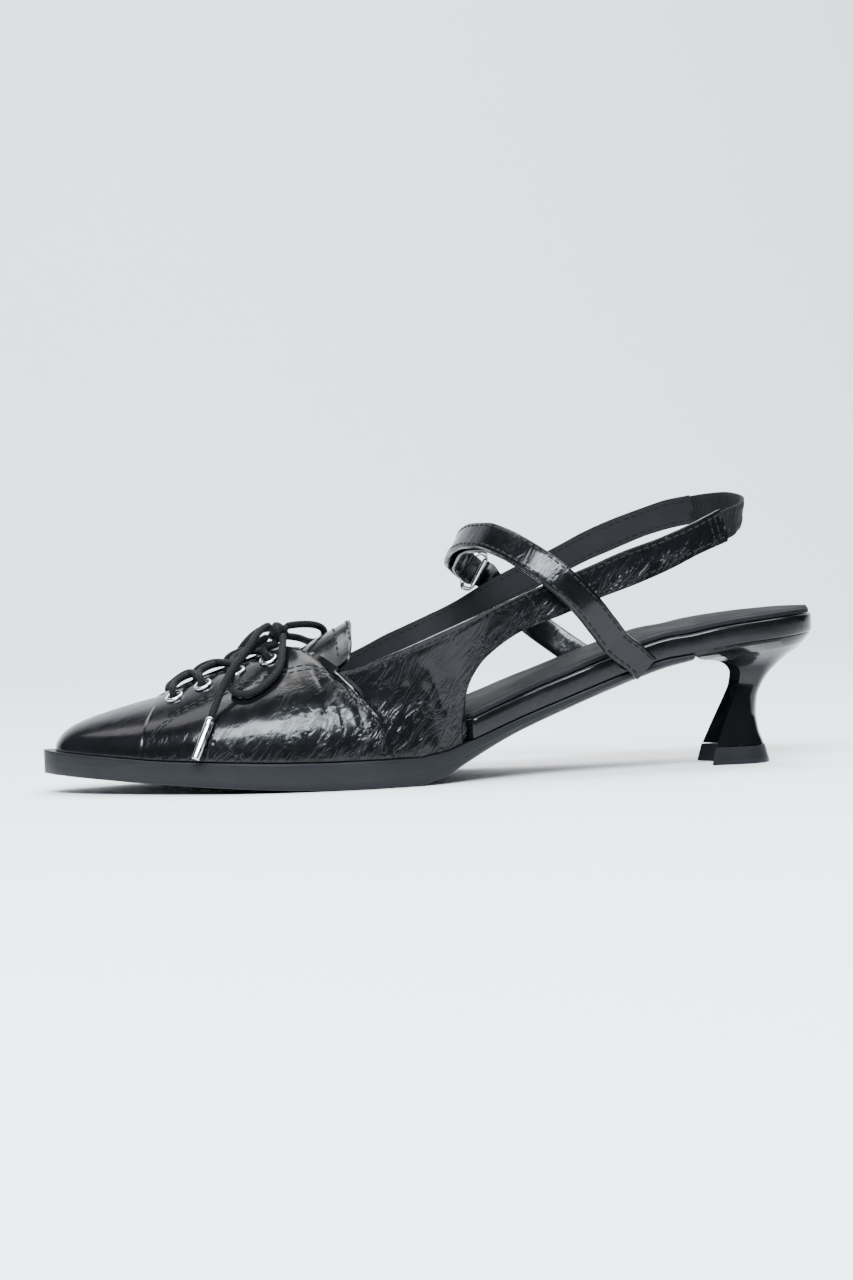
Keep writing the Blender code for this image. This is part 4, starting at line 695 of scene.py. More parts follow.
def finish_mesh(name, points, faces, looks, nodes, uvs=None, parts=None):
    """One object from points and faces: doubles welded, faces outwards, smooth up to SHARP_ANGLE."""
    mesh = bpy.data.meshes.new(name)
    mesh.from_pydata(np.asarray(points, float).tolist(), [], faces)
    if uvs is not None:
        loops = np.empty(len(mesh.loops), np.int32)
        mesh.loops.foreach_get("vertex_index", loops)
        for layer_name, values in uvs.items():
            layer = mesh.uv_layers.new(name=layer_name)
            layer.data.foreach_set("uv", np.asarray(values, np.float32)[loops].ravel())
    if parts is not None:
        mesh.polygons.foreach_set("material_index", np.asarray(parts, np.int32))
    shape = bmesh.new()
    shape.from_mesh(mesh)
    bmesh.ops.remove_doubles(shape, verts=shape.verts, dist=SAME_PLACE)
    bmesh.ops.recalc_face_normals(shape, faces=shape.faces)
    shape.to_mesh(mesh)
    shape.free()
    for look in looks:
        mesh.materials.append(look)
    mesh.shade_smooth()
    mesh.set_sharp_from_angle(angle=math.radians(SHARP_ANGLE))
    made = bpy.data.objects.new(name, mesh)
    bpy.context.scene.collection.objects.link(made)
    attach(made, "root")
    if nodes:
        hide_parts(*nodes)
    return made


def run_of(path):
    """Length along a path up to each of its points."""
    return np.concatenate([[0], np.linalg.norm(np.diff(path, axis=0), axis=1).cumsum()])


def read_at(at, run, values):
    """Three columns of values read at the lengths in at."""
    return np.column_stack([np.interp(at, run, values[:, i]) for i in range(3)])


def circle(sides):
    """Cosine and sine of even turns, each as a column."""
    turns = np.linspace(0, 2 * math.pi, sides, endpoint=False)[:, None]
    return np.cos(turns), np.sin(turns)


def number_grid(rows, wide, base=0):
    """Point numbers of a grid of rows by wide points, counted on from base."""
    return base + np.arange(rows * wide).reshape(rows, wide)


def quads(index):
    """Four-sided faces between neighbours in a grid of point numbers."""
    corners = index[:-1, :-1], index[1:, :-1], index[1:, 1:], index[:-1, 1:]
    return np.stack(corners, axis=-1).reshape(-1, 4).tolist()


def lofted(rings, closed=False):
    """Points, faces and places of a solid through rings, with flat ends unless it is closed.

    A point's place is the length along the middle line and the share of the way round."""
    rings = np.asarray(rings)
    number, count = rings.shape[:2]
    points = rings.reshape(-1, 3)
    index = number_grid(number, count)
    index = np.column_stack([index, index[:, :1]])
    if closed:
        index = np.vstack([index, index[:1]])
    faces = quads(index)
    if not closed:
        faces.append(list(range(count)))
        faces.append(list(range(len(points) - count, len(points))))
    run = run_of(rings.mean(axis=1))
    round_share = np.tile(np.arange(count) / count, number)
    return points, faces, np.column_stack([np.repeat(run, count), round_share])


def gathered(shapes):
    """Points and faces of several shapes as one, with the faces numbered on."""
    faces = []
    base = 0
    for shape in shapes:
        faces += [[base + i for i in face] for face in shape[1]]
        base += len(shape[0])
    return np.concatenate([shape[0] for shape in shapes]), faces


def solid(name, rings, look, nodes, closed=False):
    """One object from a loft through rings, in one look."""
    points, faces, places = lofted(rings, closed)
    return finish_mesh(name, points, faces, [look], nodes, {"Place": places})


def profile_of(*pairs):
    """Pairs of inward and height values, as one array of place, point and pair."""
    return np.stack([np.stack(np.broadcast_arrays(*pair), axis=-1) for pair in pairs], axis=1)


def rounded_side(profile, turns=4):
    """The profile with each corner replaced by a quadratic curve between two points near it."""
    t = np.linspace(0, 1, turns)[:, None]
    corner = profile[:, 1:-1, None]
    start = corner + (profile[:, :-2, None] - corner) * CORNER_SHARE
    end = corner + (profile[:, 2:, None] - corner) * CORNER_SHARE
    arcs = (1 - t) ** 2 * start + 2 * t * (1 - t) * corner + t * t * end
    return np.concatenate([profile[:, :1], arcs.reshape(len(profile), -1, 2), profile[:, -1:]], axis=1)


def sole_places(front, last, inset, extra=()):
    """Places along the shoe, close together where the plan turns fast."""
    toe = TOE_X + front + TOE_CORNER * np.linspace(0, 1, 10) ** 1.6
    plain = along_x(np.concatenate([np.linspace(0.03, 0.88, 110), extra]))
    turn = np.sin(np.linspace(0.12, 1.5, 26))
    turn[-1] = 0.9995
    back = SHOE_LENGTH / 2 - inset - SEAT_ROUNDING + SEAT_ROUNDING * turn
    places = np.concatenate([toe, np.sort(plain[(plain > toe[-1]) & (plain < back[0])]), back])
    return np.append(places[places < last], last) if last < places[-1] else places


def mirrored_rings(x, outer, inner, side):
    """Rings of a sole part: the side profile from its outer edge, then the same from its inner one."""
    inward = side[..., 0]
    high = side[..., 1]
    y = np.concatenate([outer[:, None] + inward, inner[:, None] - inward[:, ::-1]], axis=1)
    z = np.concatenate([high, high[:, ::-1]], axis=1)
    return np.stack([np.broadcast_to(x[:, None], y.shape), y, z], axis=-1)


def outsole_rings():
    """Side of the sole: upright, a small step half way down, then a bevel to the tread."""
    x = sole_places(0, along_x(BREAST), 0)
    outer, inner = outline(x, 0)
    width = inner - outer
    inmost = width * SOLE_INMOST
    under = sole_under(x)
    top = sole_top(x)
    deep = top - under
    edge = np.minimum(SOLE_EDGE, np.minimum(deep / 4, width / 6))
    narrow = smooth(BEVEL["along"], BEVEL["narrow"], share_at(x)) * width / 2
    step = np.minimum(SOLE_SIDE_STEP, narrow / 3)
    side = profile_of(
        (edge * 2, top), (0, top), (0, top - deep * 0.47), (step, top - deep * 0.5),
        (step + narrow * 0.35, under + deep * 0.25),
        (np.minimum(narrow + edge, inmost * 0.9), under),
        (np.minimum(narrow + edge * 6, inmost), under),
    )
    return mirrored_rings(x, outer, inner, rounded_side(side))


def board_inset(x):
    """The board hides inside the upper and widens behind the quarters to show its band."""
    hidden = WELT_LEDGE + UPPER_WALL + BOARD_TUCK
    return smooth((0, BAND_OPENS[0], BAND_OPENS[-1], 1), (hidden, hidden, 0, 0), share_at(x))


def board_places(inset):
    """Places along the board, with more where its band opens."""
    front = TOE_LEDGE + UPPER_WALL + BOARD_TUCK + inset
    return sole_places(front, SHOE_LENGTH, inset, np.linspace(BAND_OPENS[0], BAND_OPENS[-1], 9))


def board_rings():
    """The board with the rolled edge of its leather cover."""
    x = board_places(0)
    outer, inner = outline(x, board_inset(x), TOE_LEDGE + UPPER_WALL + BOARD_TUCK)
    low = sole_top(x) + GAP
    top = band_top(x)
    edge = np.minimum(RAND_EDGE, np.minimum((top - low) / 3, (inner - outer) / 6))
    soft = edge * 0.3
    side = profile_of(
        (edge * 2, top), (edge, top), (soft, top - soft), (0, top - edge), (0, low + soft * 2),
        (soft, low), (edge * 2, low),
    )
    return mirrored_rings(x, outer, inner, rounded_side(side, 3))


def insole_rings():
    """Sock crowned as a half sine, with a bell shaped groove pressed inside its edge."""
    x = board_places(INSOLE_INSET)
    front = TOE_LEDGE + UPPER_WALL + BOARD_TUCK + INSOLE_INSET
    outer, inner = outline(x, board_inset(x) + INSOLE_INSET, front)
    width = inner - outer
    low = band_top(x) + GAP
    flat = low + INSOLE_THICKNESS
    edge = np.minimum(INSOLE_THICKNESS * 0.6, width / 5)
    pairs = [(0, low), (0, low + INSOLE_THICKNESS * 0.4), (edge * 0.4, flat - edge * 0.3)]
    for share in SOCK_SHARES:
        groove = SOCK_LINE * math.exp(-(((share - SOCK_LINE_AT) / SOCK_LINE_WIDTH) ** 2))
        crown = INSOLE_THICKNESS * INSOLE_CROWN * math.sin(math.pi * share)
        pairs.append((edge + (width - 2 * edge) * share, flat + crown - groove))
    return mirrored_rings(x, outer, inner, profile_of(*pairs))


def heel_rings():
    """Sections from the foot up, read between the rows of HEEL, then the seat."""
    rows = columns(HEEL_COLUMNS, HEEL)
    spots = np.linspace(0, len(HEEL) - 1, 8 * len(HEEL))
    read = {name: smooth(range(len(HEEL)), rows[name], spots) for name in HEEL_COLUMNS}
    edges = along_x(read["back"]), along_x(read["front"])
    ups = read["up_back"] * SEAT_HEIGHT, read["up_front"] * SEAT_HEIGHT
    halves = read["half"] * HALF_BALL, read["corner"] * HALF_BALL
    rings = [heel_ring(*row) for row in zip(*edges, *ups, *halves, read["hollow"])]
    rings[0][:, 2] = TOP_PIECE_HEIGHT + GAP
    top = heel_seat(len(rings[0]), BREAST_POINTS)
    for drop in (SEAT_INSET, 0):
        rings.append(np.column_stack([top, sole_top(top[:, 0]) - drop]))
    return rings


def top_piece_rings():
    """Top piece: widens to its foot, with a soft lower edge."""
    row = columns(HEEL_COLUMNS, HEEL)
    wide = HEEL_FOOT_WIDTH / 2
    corner_wide = wide * TOP_PIECE_TAPER
    back = along_x(row["back"][0])
    front = along_x(row["front"][0])
    spread = (HEEL_FOOT_LENGTH - (back - front)) / 2
    half = row["half"][0] * HALF_BALL + GAP
    corner = row["corner"][0] * HALF_BALL + GAP
    rings = []
    for up in (0.0, 0.03, SOFT_UP_TO, 0.3, 0.6, 0.94, 0.985, 1.0):
        soft = TOP_PIECE_SOFT * max(0, SOFT_UP_TO - up) / SOFT_UP_TO
        out = spread + (GAP - spread) * up - soft
        high = TOP_PIECE_HEIGHT * up
        halves = wide + (half - wide) * up - soft, corner_wide + (corner - corner_wide) * up - soft
        rings.append(heel_ring(back + out, front - out, high, high, *halves, row["hollow"][0]))
    return rings


def dense_rows():
    """Section places along the upper, about SHEET_PITCH apart and closer at the seams."""
    rows = upper_rows()
    found = []
    for i in range(len(UPPER) - 1):
        ends = [abs(rows[name][i + 1] - rows[name][i]) for name in ("low", "top")]
        count = max(3, math.ceil(max(ends) * SHOE_LENGTH / SHEET_PITCH))
        found.append(np.linspace(i, i + 1, count, endpoint=False))
    found += [np.add(seam, SEAM_PLACES) for seam in (TOE_SEAM, REAR_SEAM)]
    found.append(np.linspace(QUARTER_SEAM - 0.05, QUARTER_SEAM + QUARTER_BULGE + 0.05, 14))
    return np.unique(np.round(np.concatenate(found + [[len(UPPER) - 1.0]]), 4))


def rise(value, start, width):
    """Soft step from 0 to 1: a cubic over width about start."""
    t = np.clip((value - start) / width + 0.5, 0, 1)
    return t * t * (3 - 2 * t)


def bell(value, middle, width):
    """Bell curve: 1 at the middle."""
    return np.exp(-(((value - middle) / width) ** 2))


def crease_depth(row, step):
    """Soft troughs and ridges pressed into the upper: a bell across each line of CREASES, with
    soft ends."""
    depth = np.zeros(np.broadcast(row, step).shape)
    for at, slant, low, high, wide, deep in CREASES:
        ends = rise(step, low, CREASE_END) * (1 - rise(step, high, CREASE_END))
        depth = depth + deep * bell(row - slant * (step - low), at, wide) * ends
    return depth


def upper_grid():
    """Outer surface and its normals, for both sides: arrays of side, row, step, axis."""
    rows = dense_rows()
    steps = np.linspace(0, 1, SHEET_STEPS) ** 1.1
    sides = []
    for side in (-1, 1):
        points = np.array([upper_section(row, side, steps) for row in rows])
        ahead = np.gradient(points, axis=0)
        up = np.gradient(points, axis=1)
        out = np.cross(ahead, up) * -side
        out[0] = out[1]
        sides.append((points, unit(out + [0, 0, 1e-12])))
    points = np.array([side[0] for side in sides])
    normals = np.array([side[1] for side in sides])
    crest = rows <= RIDGE_END
    normals[:, crest, -1] = unit(normals[:, crest, -1].sum(axis=0))
    normals[:, 0] = unit(normals[:, 0].sum(axis=0))
    return rows, steps, points, normals


def quarter_end(step):
    """Row at which the quarter ends: a parabola over the section."""
    return QUARTER_SEAM + QUARTER_BULGE * (1 - (2 * step - 1) ** 2)


def upper_shift(row, step):
    """How far the outer skin lies off the plain surface: up over the vamp between its two seams,
    down beside each seam, behind the quarter's end, along the edge and in the creases."""
    shift = OVERLAY * rise(row, TOE_SEAM, SEAM_SOFT) * (1 - rise(row, REAR_SEAM, SEAM_SOFT))
    for middle in (TOE_SEAM - SEAM_PRESS_OFF, REAR_SEAM + SEAM_PRESS_OFF):
        shift = shift - SEAM_PRESS * bell(row, middle, SEAM_PRESS_WIDTH)
    shift = shift - QUARTER_STEP * rise(row, quarter_end(step), 0.05)
    lip = EDGE_PRESS * bell(1 - step, 0.06, 0.02) * (row > RIDGE_END)
    return shift - lip - crease_depth(row, step)


def upper_wear(row, step):
    """Share of crinkles: most over the bend, then at the vamp's foot and on the quarters, and
    little at the seam between them."""
    bend = rise(row, 15.5, 4) * (1 - rise(step, 0.62, 0.3))
    foot = 0.8 * rise(row, 10.5, 2) * (1 - rise(step, 0.22, 0.3))
    quarter = 0.5 * rise(row, 20.3, 1) * (1 - 0.45 * rise(row, 32.4, 1))
    seam = 1 - 0.85 * bell(row, REAR_SEAM - 0.2, 0.55)
    return np.clip(np.maximum(np.maximum(bend, foot), quarter) * seam, 0.05, 1)


def upper_faces(rows, wide, base):
    """Faces of one side and their looks: outer skin, inner skin and the rims between them. The
    upper edge has a rim only behind the ridge's end, because both sides share the ridge."""
    outer = number_grid(len(rows), wide, base)
    inner = outer + outer.size
    free = int(np.flatnonzero(rows >= RIDGE_END)[0])
    skins = [quads(outer), quads(inner)]
    rims = quads(np.column_stack([outer[:, 0], inner[:, 0]]))
    rims += quads(np.column_stack([outer[free:, -1], inner[free:, -1]]))
    rims += quads(np.column_stack([outer[-1], inner[-1]]))
    parts = [0] * len(skins[0]) + [1] * len(skins[1]) + [0] * len(rims)
    return skins[0] + skins[1] + rims, parts


def make_upper(looks, seats):
    """The upper as one hollow wall: the outer skin shifted along its normals, the inner one a
    wall's thickness inside the plain surface."""
    rows, steps, bare, normals = upper_grid()
    row, step = np.meshgrid(rows, steps, indexing="ij")
    shown = bare + normals * upper_shift(row, step)[None, :, :, None]
    skins = np.stack([shown, bare - normals * UPPER_WALL], axis=1)
    faces = []
    parts = []
    for side in (0, 1):
        side_faces, side_parts = upper_faces(rows, len(steps), 2 * row.size * side)
        faces += side_faces
        parts += side_parts
    place = np.column_stack([row.ravel() / len(UPPER), step.ravel()])
    wear = np.column_stack([upper_wear(row, step).ravel(), step.ravel()])
    uvs = {"Place": np.tile(place, (4, 1)), "Wear": np.tile(wear, (4, 1))}
    made = finish_mesh("shoe_upper", skins.reshape(-1, 3), faces, looks, ["upper"], uvs, parts)
    cut_holes(made, seats, looks[0])
    return Sheet(rows, steps, shown, bare, normals)


def cut_holes(made, seats, look):
    """Round holes through the wall at the eyelets, with the cut applied to the mesh."""
    reach = UPPER_WALL + OVERLAY + GAP
    radius = EYELET_BORE / 2 + EYELET_WALL + GAP
    cos, sin = circle(HOLE_SIDES)
    plugs = []
    for centre, out, _ in seats:
        first, second = frame_of(out)
        edge = centre + (first * cos + second * sin) * radius
        plugs.append(lofted([edge - out * reach * 1.6, edge + out * reach]))
    cutter = finish_mesh("hole_cutter", *gathered(plugs), [look], [])
    cut = made.modifiers.new("Holes", "BOOLEAN")
    cut.solver = "EXACT"
    cut.object = cutter
    bpy.context.view_layer.update()
    result = bpy.data.meshes.new_from_object(made.evaluated_get(bpy.context.evaluated_depsgraph_get()))
    made.modifiers.clear()
    made.data = result
    bpy.data.objects.remove(cutter)


def tongue_lines():
    """Sections of the tongue: under the eyestays, then free, each falling from its ridge as a
    power of the share across."""
    lines = []
    for row in (RIDGE_END + 1.2, 13, 14, 15, 16, 16.7):
        outer = upper_section(row, -1, np.linspace(0.74, 0.97, 5))
        inner = upper_section(row, 1, np.linspace(0.97, 0.74, 5))
        crown = (outer[-1] + inner[0]) / 2 + np.array([0, 0, UPPER_WALL * 0.4])
        lines.append(np.vstack([outer, crown, inner]))
    spread = np.linspace(-1, 1, 11)
    for along, ridge, half, edge in TONGUE:
        y = (TONGUE_MIDDLE + half * spread) * HALF_BALL
        z = (ridge + (edge - ridge) * np.abs(spread) ** TONGUE_ARCH) * INSTEP_HEIGHT
        x = np.full(len(spread), along_x(along))
        lines.append(np.column_stack([x, y, z + UPPER_WALL + TONGUE_CLEARANCE]))
    return np.array(lines)


def make_tongue(look):
    """Plate with its top a clearance under the eyestays; returns the top and its normals."""
    grid = tongue_lines()
    out = unit(np.cross(np.gradient(grid, axis=0), np.gradient(grid, axis=1)))
    out[-3:] = out[-4]
    drop = UPPER_WALL + TONGUE_CLEARANCE
    top = refined(refined(grid - out * drop, 6, 0), 6, 1)
    out = unit(refined(refined(out, 6, 0), 6, 1))
    low = top - out * TONGUE_THICKNESS
    solid("shoe_tongue", np.concatenate([top, low[:, ::-1]], axis=1), look, ["tongue"])
    return top, out


def refined(grid, times, axis):
    """The grid read at times as many places along one axis, on a smooth curve through it."""
    grid = np.moveaxis(grid, axis, 0)
    keys = np.arange(len(grid))
    at = np.linspace(0, len(grid) - 1, times * (len(grid) - 1) + 1)
    flat = grid.reshape(len(grid), -1)
    read = np.column_stack([smooth(keys, flat[:, c], at) for c in range(flat.shape[1])])
    return np.moveaxis(read.reshape((len(at),) + grid.shape[1:]), 0, axis)


def strip_section(width, thickness):
    """Across and out values round a strap's section: flat faces and rounded edges."""
    turns = np.linspace(-math.pi / 2, math.pi / 2, 7)
    edge = width / 2 - thickness * 0.35 * (1 - np.cos(turns))
    flat = np.array([0.8, 0.4, 0, -0.4, -0.8]) * (width / 2 - thickness)
    high = np.append(np.sin(turns), np.ones(len(flat))) * thickness / 2
    half = np.column_stack([np.append(edge, flat), high])
    return np.concatenate([half, -half])


def strip_rings(centres, wides, width, thickness):
    """The strap's section carried along its centres, with its width along wides."""
    ahead = unit(np.gradient(centres, axis=0))
    wides = unit(wides - ahead * np.sum(wides * ahead, axis=1, keepdims=True))
    outs = np.cross(wides, ahead)
    section = strip_section(width, thickness)
    rings = centres[:, None] + wides[:, None] * section[:, :1] + outs[:, None] * section[:, 1:]
    return rings, outs, wides


def instep_path():
    """Up from the sole over the instep, round the ring's near bar and back on itself."""
    centres, wides = strap_line(INSTEP_STRAP, 120)
    centre, long, short = ring_frame()
    bar = centre - short * (RING_BREADTH - RING_WIRE) / 2
    reach = RING_WIRE / 2 + GAP + STRAP_THICKNESS / 2
    face = np.cross(long, short)
    outward = face if face[1] + face[2] > 0 else -face
    angle = np.radians(np.linspace(-90, 70, 17))[:, None]
    turn = bar + (short * np.cos(angle) + outward * np.sin(angle)) * reach
    outs = unit(np.cross(wides, unit(np.gradient(centres, axis=0))))
    outs *= np.where(np.sum(outs * (centres - centres.mean(axis=0)), axis=1) < 0, -1, 1)[:, None]
    lift = STRAP_THICKNESS + STRAP_LAYER_GAP
    back = centres + outs * (lift + np.linspace(0, 1, len(centres))[:, None] ** 3 * RING_WIRE)
    first = int(round(INSTEP_STRAP_RETURN / (len(INSTEP_STRAP) - 1) * (len(centres) - 1)))
    path = np.vstack([centres[:-3], turn, back[first:-3][::-1]])
    wide = np.vstack([wides[:-3], np.tile(long, (len(turn), 1)), wides[first:-3][::-1]])
    return path, wide


def ring_rings():
    """Round wire carried round an oblong with four quarter circle corners."""
    centre, long, short = ring_frame()
    face = np.cross(long, short)
    radius = RING_WIRE / 2
    half_long = RING_LENGTH / 2 - radius
    half_short = RING_BREADTH / 2 - radius
    bend = half_short * 0.7
    cos, sin = circle(18)
    rings = []
    for quarter, (up, across) in enumerate(((1, -1), (1, 1), (-1, 1), (-1, -1))):
        corner = centre + long * up * (half_long - bend) + short * across * (half_short - bend)
        angle = math.pi / 2 * (quarter - 1 + np.linspace(0, 1, 10))[:, None]
        spoke = (long * np.cos(angle) + short * np.sin(angle))[:, None]
        rings.append(corner + spoke * bend + (spoke * cos + face * sin) * radius)
    return np.concatenate(rings)


def eyelet_rings(seat):
    """A half round flange over a short barrel, turned about the hole's axis."""
    centre, out, _ = seat
    bore = EYELET_BORE / 2
    barrel = bore + EYELET_WALL
    flange = EYELET_OUTSIDE / 2
    roll = (flange - bore) / 2
    angle = np.linspace(0, math.pi, 12)
    radius = np.append([bore, barrel, barrel, flange - FLANGE_TUCK], bore + roll + roll * np.cos(angle))
    low = [-UPPER_WALL, -UPPER_WALL, EYELET_LIFT, EYELET_LIFT]
    high = np.append(low, EYELET_LIFT + EYELET_FLANGE * np.sin(angle))
    first, second = frame_of(out)
    cos, sin = circle(48)
    spokes = (first * cos + second * sin)[:, None]
    return centre + spokes * radius[:, None] + out * high[:, None]


def eased(line, rounds):
    """Softens the corners of a line in place, each point by its neighbours; its two ends stay."""
    for _ in range(rounds):
        line[1:-1] = 0.25 * line[:-2] + 0.5 * line[1:-1] + 0.25 * line[2:]


def fine_route(route, times=8):
    """The route read at times as many places, on a smooth curve through its points."""
    route = np.asarray(route, float)
    run = run_of(route)
    at = np.linspace(0, run[-1], times * len(route))
    path = np.column_stack([smooth(run, route[:, i], at) for i in range(3)])
    eased(path, EASE_ROUNDS)
    return path


def cord_rings(path, radius, sides=20):
    """Round sections square to the path, each turned on from the last, thinner at the very ends."""
    ahead = unit(np.gradient(path, axis=0))
    spoke = unit(np.cross(ahead[0], (0.3, 0.2, 1)))
    cos, sin = circle(sides)
    size = np.full(len(path), radius)
    size[[0, -1]] = radius * CORD_END
    rings = []
    for centre, along, reach in zip(path, ahead, size):
        spoke = unit(spoke - along * np.dot(spoke, along))
        rings.append(centre + (spoke * cos + np.cross(along, spoke) * sin) * reach)
    return rings


def merged(groups):
    """Points, faces and places of several lofts as one mesh."""
    shapes = [lofted(rings) for rings in groups]
    return *gathered(shapes), np.concatenate([shape[2] for shape in shapes])


def free_cord(name, route, node, look):
    """A free stretch of the lace: a round section carried along its route."""
    path = fine_route(route, 5)
    made = solid(name, cord_rings(path, LACE_DIAMETER / 2), look, [node])
    float(run_of(path)[-1])
    return made


def aglet_rings(route):
    """Metal tip: a thin tube with a soft mouth, a crimped line and a soft end."""
    end = np.array(route[-1])
    ahead = unit(end - np.array(route[-2]))
    first, second = frame_of(ahead)
    cos, sin = circle(28)
    spokes = first * cos + second * sin
    stops = (
        (GAP, 0.78), (GAP, AGLET_MOUTH), (GAP * 2, 1), (AGLET_CRIMP - GAP * 2, 1), (AGLET_CRIMP, 0.93),
        (AGLET_CRIMP + GAP * 2, 1), (AGLET_LENGTH - GAP * 2, 1), (AGLET_LENGTH - GAP * 0.5, 0.94),
        (AGLET_LENGTH, AGLET_TIP),
    )
    return [end + ahead * run + spokes * AGLET_DIAMETER / 2 * share for run, share in stops]


def knot_groups():
    """Two leaning turns of cord round a short core, as a tied lace has."""
    centre = np.array(KNOT_PLACE)
    axis = unit(KNOT_AXIS)
    first, second = frame_of(axis)
    reach = KNOT_SIZE * KNOT_HALF_LENGTH
    share = np.linspace(-1, 1, 17)[:, None]
    core = centre + axis * reach * share + first * KNOT_CORE_BEND * np.cos(3 * share)
    groups = [cord_rings(core, LACE_DIAMETER * 0.52)]
    for offset, tilt, start in KNOT_TURNS:
        angle = np.linspace(0, 1.9 * math.pi, 40)[:, None] + start
        spoke = first * np.cos(angle) + second * np.sin(angle)
        along = axis * reach * (offset + tilt * np.cos(angle))
        groups.append(cord_rings(centre + along + spoke * KNOT_SIZE * 0.31, LACE_DIAMETER * 0.45))
    return groups


def stitch_run(path, normals):
    """Even stitches along a path: points and faces."""
    sizes = finish_of(bpy.context)
    run = run_of(path)
    at = np.arange(sizes.stitch_pitch / 2, run[-1], sizes.stitch_pitch)
    ups = unit(read_at(at, run, normals))
    ahead = read_at(at, run, np.gradient(path, run, axis=0))
    ahead = unit(ahead - ups * np.sum(ahead * ups, axis=1, keepdims=True))
    return stitch_shapes(read_at(at, run, path) + ups * STITCH_HEIGHT * 0.3, ahead, ups)


def stitch_shapes(centres, ahead, ups):
    """One short thread at each centre, six-sided and thinned at both ends: points and faces."""
    sizes = finish_of(bpy.context)
    beside = np.cross(ahead, ups)[:, None]
    cos, sin = circle(STITCH_SIDES)
    rings = []
    for share, size, sink in STITCH_SECTIONS:
        middle = centres + ahead * share * sizes.stitch_length - ups * STITCH_HEIGHT * sink
        across = beside * cos * sizes.stitch_width / 2 + ups[:, None] * sin * STITCH_HEIGHT
        rings.append(middle[:, None] + across * size)
    threads = np.stack(rings, axis=1)
    one = lofted(threads[0])[1]
    return gathered([(thread.reshape(-1, 3), one) for thread in threads])


def grid_line(sheet, side, line):
    """A line on the upper through (row, step) pairs, read between the points of the fine grid."""
    line = np.array(line, float)
    at = np.linspace(0, len(line) - 1, 60)
    row = np.interp(at, range(len(line)), line[:, 0])
    step = np.interp(at, range(len(line)), line[:, 1])
    k = np.clip(np.searchsorted(sheet.rows, row) - 1, 0, len(sheet.rows) - 2)
    i = np.clip(np.searchsorted(sheet.steps, step) - 1, 0, len(sheet.steps) - 2)
    a = ((row - sheet.rows[k]) / (sheet.rows[k + 1] - sheet.rows[k]))[:, None]
    b = ((step - sheet.steps[i]) / (sheet.steps[i + 1] - sheet.steps[i]))[:, None]
    found = []
    for grid in (sheet.shown[side], sheet.normals[side]):
        low = grid[k, i] * (1 - a) + grid[k + 1, i] * a
        high = grid[k, i + 1] * (1 - a) + grid[k + 1, i + 1] * a
        found.append(low * (1 - b) + high * b)
    return found[0], unit(found[1])


def margin_line(sheet, points, side, first, last, low=False):
    """A line EDGE_MARGIN from the section's upper end, or from its lower end with low."""
    way = slice(None) if low else slice(None, None, -1)
    found = []
    ups = []
    for k in np.flatnonzero((sheet.rows >= first) & (sheet.rows <= last)):
        line = points[side][k][way]
        run = run_of(line)
        found.append(read_at([EDGE_MARGIN], run, line)[0])
        ups.append(read_at([EDGE_MARGIN], run, sheet.normals[side][k][way])[0])
    return np.array(found), unit(np.array(ups))


def upper_stitches(sheet):
    """Stitch lines of the upper on both sides: its edges outside and inside, and its seams."""
    runs = []
    for side in (0, 1):
        for first, last, low in EDGE_STITCHES:
            runs.append(margin_line(sheet, sheet.shown, side, first, last, low))
        for first, last, low in INSIDE_STITCHES:
            path, ups = margin_line(sheet, sheet.bare, side, first, last, low)
            runs.append((path - ups * (UPPER_WALL - STITCH_HEIGHT * 0.6), -ups))
        runs.append(quarter_end_run(sheet, side))
        for row, low, high in ROW_STITCHES:
            runs.append(grid_line(sheet, side, [(row, low), (row, high)]))
        for off in (0.0, EYESTAY_ROW_GAP):
            runs.append(grid_line(sheet, side, [(row, step + off) for row, step in EYESTAY_LINE]))
    return runs


def quarter_end_run(sheet, side):
    """Stitches just ahead of the curved end of the quarter, where the sling strap goes on behind."""
    line = [(quarter_end(step) - QUARTER_STITCH_OFF, step) for step in np.linspace(0.06, 0.94, 12)]
    return grid_line(sheet, side, line)


def band_stitches(centres, wides, outs):
    """Two rows of stitches, one inside each edge, on the outer face of a strap."""
    reach = STRAP_WIDTH / 2 - EDGE_MARGIN * 0.8
    face = centres + outs * STRAP_THICKNESS / 2
    return [(face + wides * sign * reach, outs) for sign in (-1, 1)]


def make_stitches(name, runs, look):
    """All stitches along several lines, each with its normals, as one object."""
    points, faces = gathered([stitch_run(path, normals) for path, normals in runs])
    return finish_mesh(name, points, faces, [look], [])


# Looks


